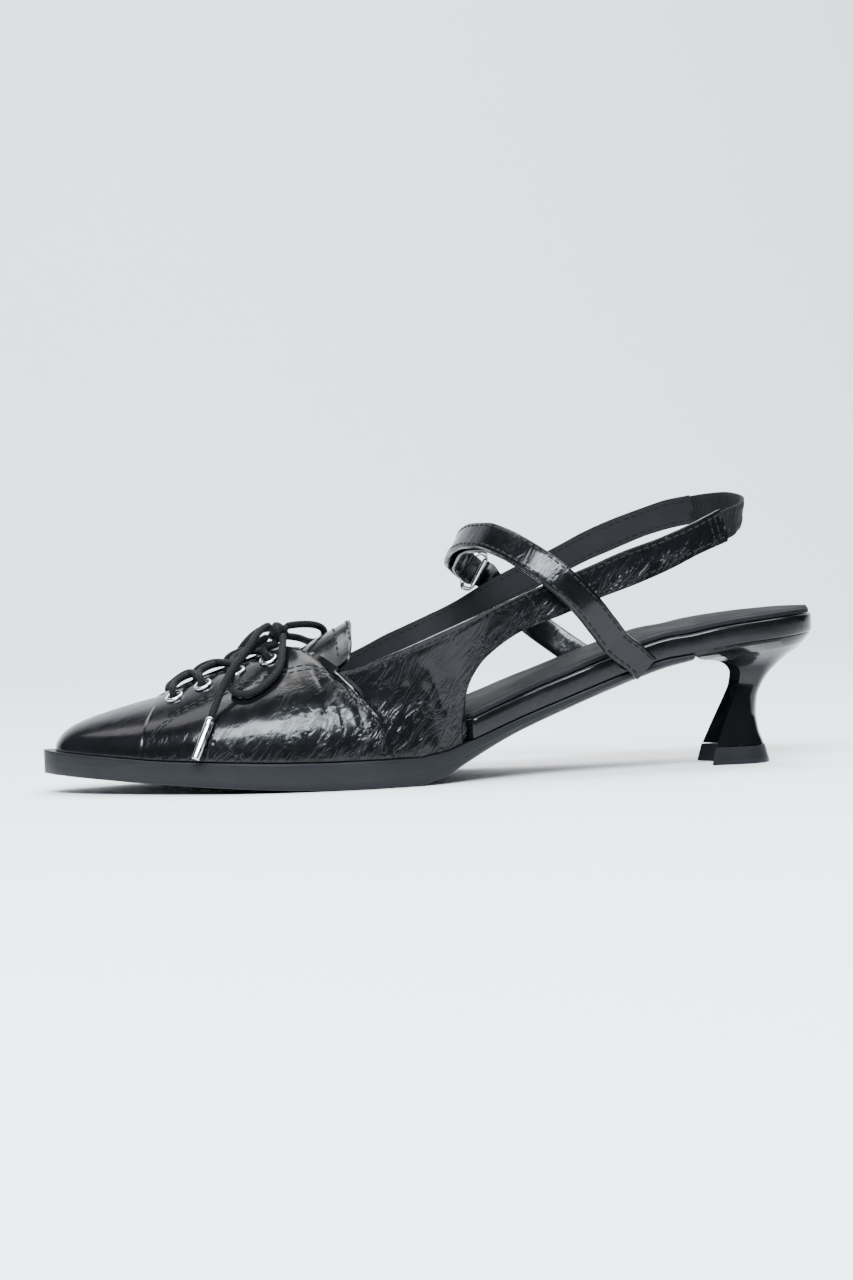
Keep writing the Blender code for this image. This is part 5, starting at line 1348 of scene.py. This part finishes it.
class Recipe:
    """A material under construction: short names for the nodes it needs."""

    def __init__(self, name, slot):
        self.material = bpy.data.materials.new(name)
        self.material.use_nodes = True
        self.tree = self.material.node_tree
        self.shader = self.tree.nodes["Principled BSDF"]
        self.shader.inputs["Specular IOR Level"].default_value = DULL_SHINE
        self.slot = slot

    def add(self, kind, **values):
        """A new node, with inputs or settings given by name."""
        node = self.tree.nodes.new(kind)
        for key, value in values.items():
            if key in node.inputs:
                node.inputs[key].default_value = value
            else:
                setattr(node, key, value)
        return node

    def link(self, a, b):
        """Joins an output to an input."""
        self.tree.links.new(a, b)

    def object_place(self, stretch=(1, 1, 1), lean=0.0):
        """The object's own coordinates, leaned about its across axis and then stretched."""
        where = self.add("ShaderNodeTexCoord")
        leaned = self.add("ShaderNodeMapping")
        leaned.inputs["Rotation"].default_value = (0, lean, 0)
        turn = self.add("ShaderNodeMapping")
        turn.inputs["Scale"].default_value = stretch
        self.link(where.outputs["Object"], leaned.inputs["Vector"])
        self.link(leaned.outputs["Vector"], turn.inputs["Vector"])
        return turn.outputs["Vector"]

    def uv_place(self, name, stretch=(1, 1, 1)):
        """A surface's own UV map, stretched."""
        where = self.add("ShaderNodeUVMap", uv_map=name)
        turn = self.add("ShaderNodeMapping")
        turn.inputs["Scale"].default_value = stretch
        self.link(where.outputs["UV"], turn.inputs["Vector"])
        return turn.outputs["Vector"]

    def noise(self, place, scale, detail=3.0, distortion=0.0, kind="FBM"):
        """Value of a noise pattern at a place."""
        node = self.add("ShaderNodeTexNoise", noise_type=kind)
        node.inputs["Scale"].default_value = scale
        node.inputs["Detail"].default_value = detail
        node.inputs["Distortion"].default_value = distortion
        self.link(place, node.inputs["Vector"])
        return node.outputs["Fac"]

    def spread(self, value, low, high, out_low, out_high):
        """A value's range from low to high, carried over to another range."""
        node = self.add("ShaderNodeMapRange")
        for i, number in enumerate((low, high, out_low, out_high)):
            node.inputs[i + 1].default_value = number
        self.link(value, node.inputs["Value"])
        return node.outputs["Result"]

    def maths(self, operation, a, b):
        """One sum on two values, each a number or an output."""
        node = self.add("ShaderNodeMath", operation=operation)
        for i, value in enumerate((a, b)):
            if isinstance(value, (int, float)):
                node.inputs[i].default_value = value
            else:
                self.link(value, node.inputs[i])
        return node.outputs["Value"]

    def colour(self, value, dark, light):
        """Base colour mixed between dark and light by a value."""
        node = self.add("ShaderNodeMix", data_type="RGBA")
        node.inputs[6].default_value = (*dark, 1)
        node.inputs[7].default_value = (*light, 1)
        self.link(value, node.inputs["Factor"])
        self.link(node.outputs[2], self.shader.inputs["Base Color"])

    def bump(self, height, strength, distance, before=None):
        """Normal from a height, on top of the one before."""
        node = self.add("ShaderNodeBump")
        node.inputs["Strength"].default_value = strength
        node.inputs["Distance"].default_value = distance
        self.link(height, node.inputs["Height"])
        if before is not None:
            self.link(before, node.inputs["Normal"])
        return node.outputs["Normal"]

    def done(self, normal, roughness=None):
        """Joins the last normal and roughness, and returns the material."""
        self.link(normal, self.shader.inputs["Normal"])
        if roughness is not None:
            self.link(roughness, self.shader.inputs["Roughness"])
        return self.material


def darker(colour, share):
    """The colour with each channel multiplied by share, darker below 1 and lighter above."""
    return tuple(channel * share for channel in colour)


def patent_look(finish, with_wear, most=0.5):
    """Lacquered leather: broad swellings, crinkles that gather where it bends, and fine grain."""
    r = Recipe("patent", "patent")
    place = r.object_place()
    tone = r.noise(place, 60, 4)
    r.colour(r.spread(tone, 0.3, 0.7, 0, 1), darker(finish.patent, 0.6), darker(finish.patent, 1.4))
    streak = r.object_place(CRINKLE_STRETCH, CRINKLE_LEAN)
    raw = r.noise(streak, 1.0, 3.5, 0.9)
    line = r.maths("ABSOLUTE", r.maths("SUBTRACT", raw, 0.5), 0)
    folds = r.maths("MINIMUM", r.maths("MULTIPLY", line, 9.0), 1.0)
    swell = r.noise(place, 55, 3, 0.8)
    grain = r.noise(place, 1400, 2)
    if with_wear:
        wear = r.add("ShaderNodeSeparateXYZ")
        r.link(r.uv_place("Wear"), wear.inputs["Vector"])
        patches = r.spread(r.noise(place, 60, 2), 0.38, 0.58, 0.3, 1)
        amount = r.maths("MULTIPLY", patches, r.spread(wear.outputs["X"], 0, 1, 0.05, 1))
    else:
        amount = r.spread(r.noise(place, 60, 2), 0.4, 0.65, 0.03, most)
    height = r.maths("MULTIPLY", folds, amount)
    normal = r.bump(swell, 0.4, 0.0005)
    normal = r.bump(height, finish.crinkle, 0.00032, normal)
    normal = r.bump(grain, 0.08, 0.0001, normal)
    r.shader.inputs["Specular IOR Level"].default_value = PATENT_SHINE
    r.shader.inputs["Coat Weight"].default_value = 0.12
    r.shader.inputs["Coat Roughness"].default_value = 0.05
    rough = r.spread(r.noise(place, 220, 3), 0.3, 0.7, finish.gloss, finish.gloss + 0.09)
    return r.done(normal, rough)


def lining_look(finish):
    """Dull leather with a fine, deep grain."""
    r = Recipe("lining", "sock_leather")
    place = r.object_place()
    r.colour(r.noise(place, 300, 4), darker(finish.lining, 0.7), darker(finish.lining, 1.3))
    normal = r.bump(r.noise(place, 1500, 4), 0.35, 0.0002)
    return r.done(normal, r.spread(r.noise(place, 90, 2), 0.3, 0.7, 0.5, 0.68))


def sock_look(finish):
    """Thin matt leather, softly uneven, with a fine grain."""
    r = Recipe("sock", "sock_leather")
    place = r.object_place()
    r.shader.inputs["Specular IOR Level"].default_value = SOCK_SHINE
    r.colour(r.noise(place, 45, 4), darker(finish.sock, 0.75), darker(finish.sock, 1.25))
    normal = r.bump(r.noise(place, 40, 2), 0.25, 0.0008)
    normal = r.bump(r.noise(place, 1100, 3), 0.3, 0.00015, normal)
    return r.done(normal, r.spread(r.noise(place, 60, 3), 0.3, 0.7, 0.55, 0.72))


def rubber_look(finish):
    """Dull rubber with faint lines along its side and a fine grain."""
    r = Recipe("sole_rubber", "sole_rubber")
    place = r.object_place()
    r.colour(r.noise(place, 80, 5), darker(finish.rubber, 0.75), darker(finish.rubber, 1.25))
    lines = r.noise(r.object_place((0.15, 0.15, 9)), 160, 3)
    normal = r.bump(lines, 0.12, 0.0003)
    normal = r.bump(r.noise(place, 1800, 3), 0.18, 0.0001, normal)
    return r.done(normal, r.spread(r.noise(place, 120, 3), 0.3, 0.7, 0.34, 0.50))


def heel_look(finish):
    """Smooth lacquer over the heel, with hardly any swelling."""
    r = Recipe("heel_gloss", "heel_gloss")
    place = r.object_place()
    r.colour(r.noise(place, 90, 3), darker(finish.patent, 0.7), darker(finish.patent, 1.2))
    normal = r.bump(r.noise(place, 55, 2), 0.12, 0.0005)
    r.shader.inputs["Specular IOR Level"].default_value = PATENT_SHINE
    r.shader.inputs["Coat Weight"].default_value = 0.2
    r.shader.inputs["Coat Roughness"].default_value = 0.03
    return r.done(normal, r.spread(r.noise(place, 200, 3), 0.3, 0.7, 0.10, 0.20))


def metal_look(finish):
    """Polished silver metal with faint wear."""
    r = Recipe("silver_metal", "silver_metal")
    place = r.object_place()
    r.colour(r.noise(place, 500, 3), darker(finish.metal, 0.9), finish.metal)
    r.shader.inputs["Metallic"].default_value = 1.0
    r.shader.inputs["Specular IOR Level"].default_value = 0.5
    normal = r.bump(r.noise(place, 2500, 3), 0.08, 0.0001)
    return r.done(normal, r.spread(r.noise(place, 700, 3), 0.3, 0.7, 0.14, 0.28))


def lace_look(finish):
    """Braid: two families of threads crossing along the cord's own run and round it."""
    r = Recipe("lace_cord", "lace_cord")
    split = r.add("ShaderNodeSeparateXYZ")
    r.link(r.uv_place("Place"), split.inputs["Vector"])
    run = r.maths("MULTIPLY", split.outputs["X"], 5200.0)
    turn = r.maths("MULTIPLY", split.outputs["Y"], 2 * math.pi * 6)
    one = r.maths("SINE", r.maths("ADD", run, turn), 0)
    two = r.maths("SINE", r.maths("SUBTRACT", run, turn), 0)
    braid = r.maths("MAXIMUM", one, two)
    # Base colour is darker in the troughs between the threads and lighter on their crests, following
    # the bump's height: painted shade and painted highlight on the braid.
    r.colour(r.spread(braid, -0.2, 1, 0, 1), darker(finish.cord, 0.35), darker(finish.cord, 1.3))
    normal = r.bump(braid, 0.8, 0.00022)
    fuzz = r.bump(r.noise(r.object_place(), 2500, 3), 0.3, 0.0001, normal)
    return r.done(fuzz, r.spread(braid, -0.2, 1, 0.85, 0.55))


def elastic_look(finish):
    """Ribbed webbing: fine cords across its width with a zigzag of thread along it."""
    r = Recipe("elastic_web", "elastic_web")
    split = r.add("ShaderNodeSeparateXYZ")
    r.link(r.uv_place("Place"), split.inputs["Vector"])
    ribs = r.maths("SINE", r.maths("MULTIPLY", split.outputs["X"], 6500.0), 0)
    weft = r.maths("SINE", r.maths("MULTIPLY", split.outputs["Y"], 260.0), 0)
    weave = r.maths("MULTIPLY", ribs, r.spread(weft, -1, 1, 0.6, 1))
    # Base colour is darker in the grooves between the ribs and lighter on their tops, following the
    # bump's height: painted shade and painted highlight on the webbing.
    r.colour(r.spread(weave, -1, 1, 0, 1), darker(finish.cord, 0.4), darker(finish.cord, 1.5))
    return r.done(r.bump(weave, 0.6, 0.0002), r.spread(weave, -1, 1, 0.8, 0.6))


def thread_look(finish):
    """Waxed thread, slightly uneven."""
    r = Recipe("thread", "lace_cord")
    place = r.object_place()
    r.colour(r.noise(place, 900, 3), darker(finish.thread, 0.6), darker(finish.thread, 1.3))
    normal = r.bump(r.noise(place, 4000, 2), 0.3, 0.0001)
    return r.done(normal, r.spread(r.noise(place, 700, 2), 0.3, 0.7, 0.4, 0.6))


def stage_look():
    """Pale paper, slightly uneven in tone."""
    r = Recipe("studio_paper", None)
    place = r.object_place()
    r.colour(r.noise(place, 3, 3), PAPER_DARK, PAPER_LIGHT)
    normal = r.bump(r.noise(place, 300, 2), 0.03, 0.0002)
    return r.done(normal, r.spread(r.noise(place, 8, 2), 0, 1, 0.75, 0.85))


# Add-on


class ShoeFinish(bpy.types.PropertyGroup):
    """Colours, gloss and stitch sizes of the shoe."""

    patent: FloatVectorProperty(
        name="Patent", description="Colour of the lacquered leather", size=3,
        default=(0.0035, 0.0036, 0.0042), subtype="COLOR",
    )
    lining: FloatVectorProperty(
        name="Lining", description="Colour of the lining", size=3,
        default=(0.009, 0.009, 0.010), subtype="COLOR",
    )
    sock: FloatVectorProperty(
        name="Sock", description="Colour of the insole", size=3,
        default=(0.009, 0.009, 0.010), subtype="COLOR",
    )
    rubber: FloatVectorProperty(
        name="Rubber", description="Colour of the sole", size=3,
        default=(0.0095, 0.0102, 0.0115), subtype="COLOR",
    )
    metal: FloatVectorProperty(
        name="Metal", description="Colour of eyelets, ring and tips", size=3,
        default=(0.80, 0.80, 0.81), subtype="COLOR",
    )
    cord: FloatVectorProperty(
        name="Cord", description="Colour of lace and elastic", size=3,
        default=(0.0045, 0.0045, 0.005), subtype="COLOR",
    )
    thread: FloatVectorProperty(
        name="Thread", description="Colour of the stitches", size=3,
        default=(0.0045, 0.0045, 0.005), subtype="COLOR",
    )
    gloss: FloatProperty(
        name="Gloss", description="Roughness of the lacquer at its smoothest",
        default=0.15, min=0, max=1, subtype="FACTOR",
    )
    crinkle: FloatProperty(
        name="Crinkle", description="Strength of the crinkles",
        default=0.6, min=0, max=1, subtype="FACTOR",
    )
    stitch_pitch: FloatProperty(
        name="Stitch pitch", description="Distance from one stitch to the next",
        default=0.0029, min=0.001, precision=5, unit="LENGTH",
    )
    stitch_length: FloatProperty(
        name="Stitch length", description="Length of the thread that shows",
        default=0.0023, min=0.0005, precision=5, unit="LENGTH",
    )
    stitch_width: FloatProperty(
        name="Stitch width", description="Breadth of the thread that shows",
        default=0.0007, min=0.0001, precision=5, unit="LENGTH",
    )


def finish_of(context):
    """The finish set in the panel."""
    return context.scene.shoe_finish


def all_seats():
    """Seats of all eyelets: a list for the outer side and one for the inner side."""
    return [[eyelet_seat(along, margin, side) for along, margin in EYELETS] for side in (-1, 1)]


def look(context, name):
    """A material made once and used by every piece that needs it."""
    finish = finish_of(context)
    makers = {
        "shoe_patent": lambda: patent_look(finish, True),
        "strap_patent": lambda: patent_look(finish, False),
        "smooth_patent": lambda: patent_look(finish, False, 0.1),
        "shoe_lining": lambda: lining_look(finish),
        "shoe_sock": lambda: sock_look(finish),
        "shoe_rubber": lambda: rubber_look(finish),
        "shoe_heel": lambda: heel_look(finish),
        "shoe_metal": lambda: metal_look(finish),
        "shoe_lace": lambda: lace_look(finish),
        "shoe_elastic": lambda: elastic_look(finish),
        "shoe_thread": lambda: thread_look(finish),
    }
    made = bpy.data.materials.get(name) or makers[name]()
    made.name = name
    return made


class SHOE_OT_stage(bpy.types.Operator):
    """Camera, pale paper and soft lights."""

    bl_idname = "shoe.stage"
    bl_label = "Add stage"

    def execute(self, context):
        add_camera(context)
        add_paper()
        add_lights()
        return {"FINISHED"}


class SHOE_OT_lace(bpy.types.Operator):
    """Crossings, knot, loops, ends and metal tips of the lace."""

    bl_idname = "shoe.lace"
    bl_label = "Add lace"

    def execute(self, context):
        cord_look = look(context, "shoe_lace")
        metal = look(context, "shoe_metal")
        for side, route in (("outer", LACE_END_OUTER), ("inner", LACE_END_INNER)):
            tip = solid(f"tip_{side}", aglet_rings(route), metal, [f"aglet_{side}"])
        points, faces, uv = merged(knot_groups())
        knot = finish_mesh("knot", points, faces, [cord_look], ["lace_knot"], {"Place": uv})
        pieces = [
            knot,
            free_cord("loop_outer", LACE_LOOP_OUTER, "lace_loop_outer", cord_look),
            free_cord("loop_inner", LACE_LOOP_INNER, "lace_loop_inner", cord_look),
            free_cord("end_outer", LACE_END_OUTER, "lace_end_outer", cord_look),
            free_cord("end_inner", LACE_END_INNER, "lace_end_inner", cord_look),
        ]
        routes = strand_routes(all_seats())
        strands = [cord_rings(fine_route(route), LACE_DIAMETER / 2) for route in routes]
        points, faces, uv = merged(strands)
        nodes = ["lace_crossings"]
        pieces.append(finish_mesh("crossings", points, faces, [cord_look], nodes, {"Place": uv}))
        return {"FINISHED"}


class SHOE_OT_sole(bpy.types.Operator):
    """Outsole, covered board, insole, heel and its top piece."""

    bl_idname = "shoe.sole"
    bl_label = "Add sole and heel"

    def execute(self, context):
        rubber = look(context, "shoe_rubber")
        heel = look(context, "shoe_heel")
        solid("sole", outsole_rings(), rubber, ["outsole"])
        sock = look(context, "shoe_sock")
        band = look(context, "smooth_patent")
        solid("sock", insole_rings(), sock, ["insole"])
        solid("band", board_rings(), band, ["covered_board"])
        solid("heel_block", heel_rings(), heel, ["heel"])
        solid("heel_tip", top_piece_rings(), rubber, ["heel_top_piece"])
        return {"FINISHED"}


class SHOE_OT_upper(bpy.types.Operator):
    """Upper with its overlay, lining, holes, eyelets, tongue and seams."""

    bl_idname = "shoe.upper"
    bl_label = "Add upper"

    def execute(self, context):
        metal = look(context, "shoe_metal")
        seats = all_seats()
        looks = [look(context, "shoe_patent"), look(context, "shoe_lining")]
        sheet = make_upper(looks, seats[0] + seats[1])
        for row, name in zip(seats, ("outer", "inner")):
            for number, seat in enumerate(row, 1):
                node = f"eyelet_{name}_{number}"
                ring = solid(f"eye_{name}_{number}", eyelet_rings(seat), metal, [node], True)
        top, out = make_tongue(look(context, "smooth_patent"))
        runs = upper_stitches(sheet)
        up = -1 if out[..., 2].mean() < 0 else 1
        for back in TONGUE_STITCH_ROWS:
            runs.append((top[-back][4:-4], out[-back][4:-4] * up))
        make_stitches("upper_stitches", runs, look(context, "shoe_thread"))
        return {"FINISHED"}


class SHOE_OT_straps(bpy.types.Operator):
    """Instep strap, ring and its strap, elastic and their stitches."""

    bl_idname = "shoe.straps"
    bl_label = "Add straps"

    def execute(self, context):
        patent = look(context, "strap_patent")
        thread = look(context, "shoe_thread")
        path, wide = instep_path()
        rings, outs, wides = strip_rings(path, wide, STRAP_WIDTH, STRAP_THICKNESS)
        solid("strap_instep", rings, patent, ["instep_strap"])
        faced = outs * outward(path, outs)
        runs = []
        for keep in (slice(len(path) // 2 + 14, len(path) - 2), slice(2, 26)):
            runs += band_stitches(path[keep], wides[keep], faced[keep])
        path, wide = strap_line(RING_STRAP, 60)
        rings, outs, wides = strip_rings(path, wide, STRAP_WIDTH, STRAP_THICKNESS)
        solid("strap_ring_side", rings, patent, ["ring_strap"])
        runs += band_stitches(path, wides, np.abs(outs) * np.sign(path))
        make_stitches("strap_stitches", runs, thread)
        path, wide = tucked(*strap_line(ELASTIC, 90))
        rings, outs, wides = strip_rings(path, wide, *ELASTIC_SHOWN)
        web = solid("elastic", rings, look(context, "shoe_elastic"), ["heel_elastic"])
        points, faces = zigzag(path, wides, outs)
        finish_mesh("elastic_zigzag", points, faces, [thread], [])
        ring = solid("ring", ring_rings(), look(context, "shoe_metal"), ["strap_ring"], True)
        return {"FINISHED"}


def strap_tail(side):
    """Middle line and width of the last stretch of a sling strap, inside its wall."""
    centres = []
    wides = []
    for row in TUCK_ROWS:
        line = upper_section(row, side, (0, 0.5, 1))
        before = upper_section(row - 0.1, side, (0, 0.5, 1))
        wide = unit(line[2] - line[0])
        out = unit(np.cross(line[1] - before[1], wide)) * -side
        centres.append(line[1] - out * (UPPER_WALL / 2 + ELASTIC_SINK))
        wides.append(wide)
    return centres, wides


def tucked(path, wide):
    """The elastic with both ends carried on into the ends of the sling straps."""
    ends = [strap_tail(side) for side in (-1, 1)]
    path = np.vstack([ends[0][0], path[8:-8], ends[1][0][::-1]])
    wide = np.vstack([ends[0][1], wide[8:-8], ends[1][1][::-1]])
    run = run_of(path)
    at = np.linspace(0, run[-1], 140)
    both = [read_at(at, run, values) for values in (path, wide)]
    for line in both:
        eased(line, 12)
    return both[0], unit(both[1])


def outward(path, outs):
    """1 where a strap's normal points away from the middle of its path, and -1 elsewhere."""
    return np.sign(np.sum(outs * (path - path.mean(axis=0)), axis=1, keepdims=True))


def zigzag(path, wides, outs):
    """Threads laid to and fro along both edges of the elastic's outer face: points and faces."""
    run = run_of(path)
    at = np.arange(ELASTIC_TUCK, run[-1] - ELASTIC_TUCK, ZIGZAG_STEP)
    swing = np.where(np.arange(len(at)) % 2 == 0, *ZIGZAG_SWING)[:, None]
    faced = outs * outward(path, outs)
    middle, across, out = (read_at(at, run, values) for values in (path, wides, faced))
    rows = []
    for sign in (-1, 1):
        line = middle + across * sign * swing * ELASTIC_WIDTH + out * ELASTIC_SHOWN[1] / 2
        rows.append(stitch_shapes((line[1:] + line[:-1]) / 2, unit(np.diff(line, axis=0)), out[1:]))
    return gathered(rows)


class SHOE_PT_panel(bpy.types.Panel):
    """Finish of the shoe and its steps."""

    bl_idname = "SHOE_PT_panel"
    bl_label = "Shoe"
    bl_space_type = "VIEW_3D"
    bl_region_type = "UI"
    bl_category = "Shoe"

    def draw(self, context):
        for name in ShoeFinish.__annotations__:
            self.layout.prop(finish_of(context), name)
        for kind in (SHOE_OT_stage, SHOE_OT_lace, SHOE_OT_sole, SHOE_OT_upper, SHOE_OT_straps):
            self.layout.operator(kind.bl_idname)


# Stage


def add_camera(context):
    """Camera at the photograph's distance, angle and roll."""
    angles = (math.radians(value) for value in (CAMERA_AZIMUTH, CAMERA_RISE, CAMERA_ROLL))
    azimuth, elevation, roll = angles
    level = math.cos(elevation)
    back = Vector((math.sin(azimuth) * level, -math.cos(azimuth) * level, math.sin(elevation)))
    right = Vector((0, 0, 1)).cross(back).normalized()
    up = back.cross(right)
    rolled_right = right * math.cos(roll) - up * math.sin(roll)
    rolled_up = right * math.sin(roll) + up * math.cos(roll)
    data = bpy.data.cameras.new("camera")
    data.sensor_width = CAMERA_SENSOR
    data.lens = CAMERA_SENSOR * CAMERA_DISTANCE / PICTURE_HEIGHT
    camera = bpy.data.objects.new("camera", data)
    turn = Matrix((rolled_right, rolled_up, back)).transposed().to_4x4()
    camera.matrix_world = Matrix.Translation(Vector(CAMERA_TARGET) + back * CAMERA_DISTANCE) @ turn
    context.scene.collection.objects.link(camera)
    context.scene.camera = camera


def add_paper():
    """Floor that curves up into a back wall."""
    profile = [(PAPER_FRONT, 0.0), (PAPER_BACK, 0.0)]
    for angle in np.linspace(0, math.pi / 2, 17)[1:]:
        profile.append((PAPER_BACK + PAPER_BEND * math.sin(angle), PAPER_BEND * (1 - math.cos(angle))))
    profile.append((PAPER_BACK + PAPER_BEND, PAPER_HEIGHT))
    points = [(x, y, z - FLOOR_GAP) for y, z in profile for x in (-PAPER_HALF, PAPER_HALF)]
    faces = [(2 * i, 2 * i + 1, 2 * i + 3, 2 * i + 2) for i in range(len(profile) - 1)]
    mesh = bpy.data.meshes.new("paper")
    mesh.from_pydata(points, [], faces)
    mesh.shade_smooth()
    mesh.materials.append(stage_look())
    paper = bpy.data.objects.new("paper", mesh)
    bpy.context.scene.collection.objects.link(paper)


def add_lights():
    """A dim cool world and the soft boxes, each turned to the shoe."""
    world = bpy.data.worlds.new("studio")
    bpy.context.scene.world = world
    world.use_nodes = True
    back = world.node_tree.nodes["Background"]
    back.inputs["Color"].default_value = WORLD_COLOUR
    back.inputs["Strength"].default_value = WORLD_STRENGTH
    for name, spot, wide, high, power, colour in LIGHTS:
        data = bpy.data.lights.new(name, "AREA")
        data.shape = "RECTANGLE"
        data.size = wide
        data.size_y = high
        data.energy = power
        data.color = colour
        lamp = bpy.data.objects.new(name, data)
        toward = Vector(LIGHT_TARGET) - Vector(spot)
        turn = toward.to_track_quat("-Z", "Y").to_matrix().to_4x4()
        lamp.matrix_world = Matrix.Translation(spot) @ turn
        bpy.context.scene.collection.objects.link(lamp)


CLASSES = (
    ShoeFinish, SHOE_OT_stage, SHOE_OT_lace, SHOE_OT_sole, SHOE_OT_upper, SHOE_OT_straps,
    SHOE_PT_panel,
)


def register():
    """Adds the classes and the scene's finish."""
    for kind in CLASSES:
        bpy.utils.register_class(kind)
    bpy.types.Scene.shoe_finish = PointerProperty(type=ShoeFinish)


def unregister():
    """Takes them away again."""
    del bpy.types.Scene.shoe_finish
    for kind in reversed(CLASSES):
        bpy.utils.unregister_class(kind)


def main():
    """Draws the whole shoe."""
    register()
    bpy.ops.shoe.stage()
    bpy.ops.shoe.lace()
    bpy.ops.shoe.sole()
    bpy.ops.shoe.upper()
    bpy.ops.shoe.straps()


if __name__ == "__main__":
    main()
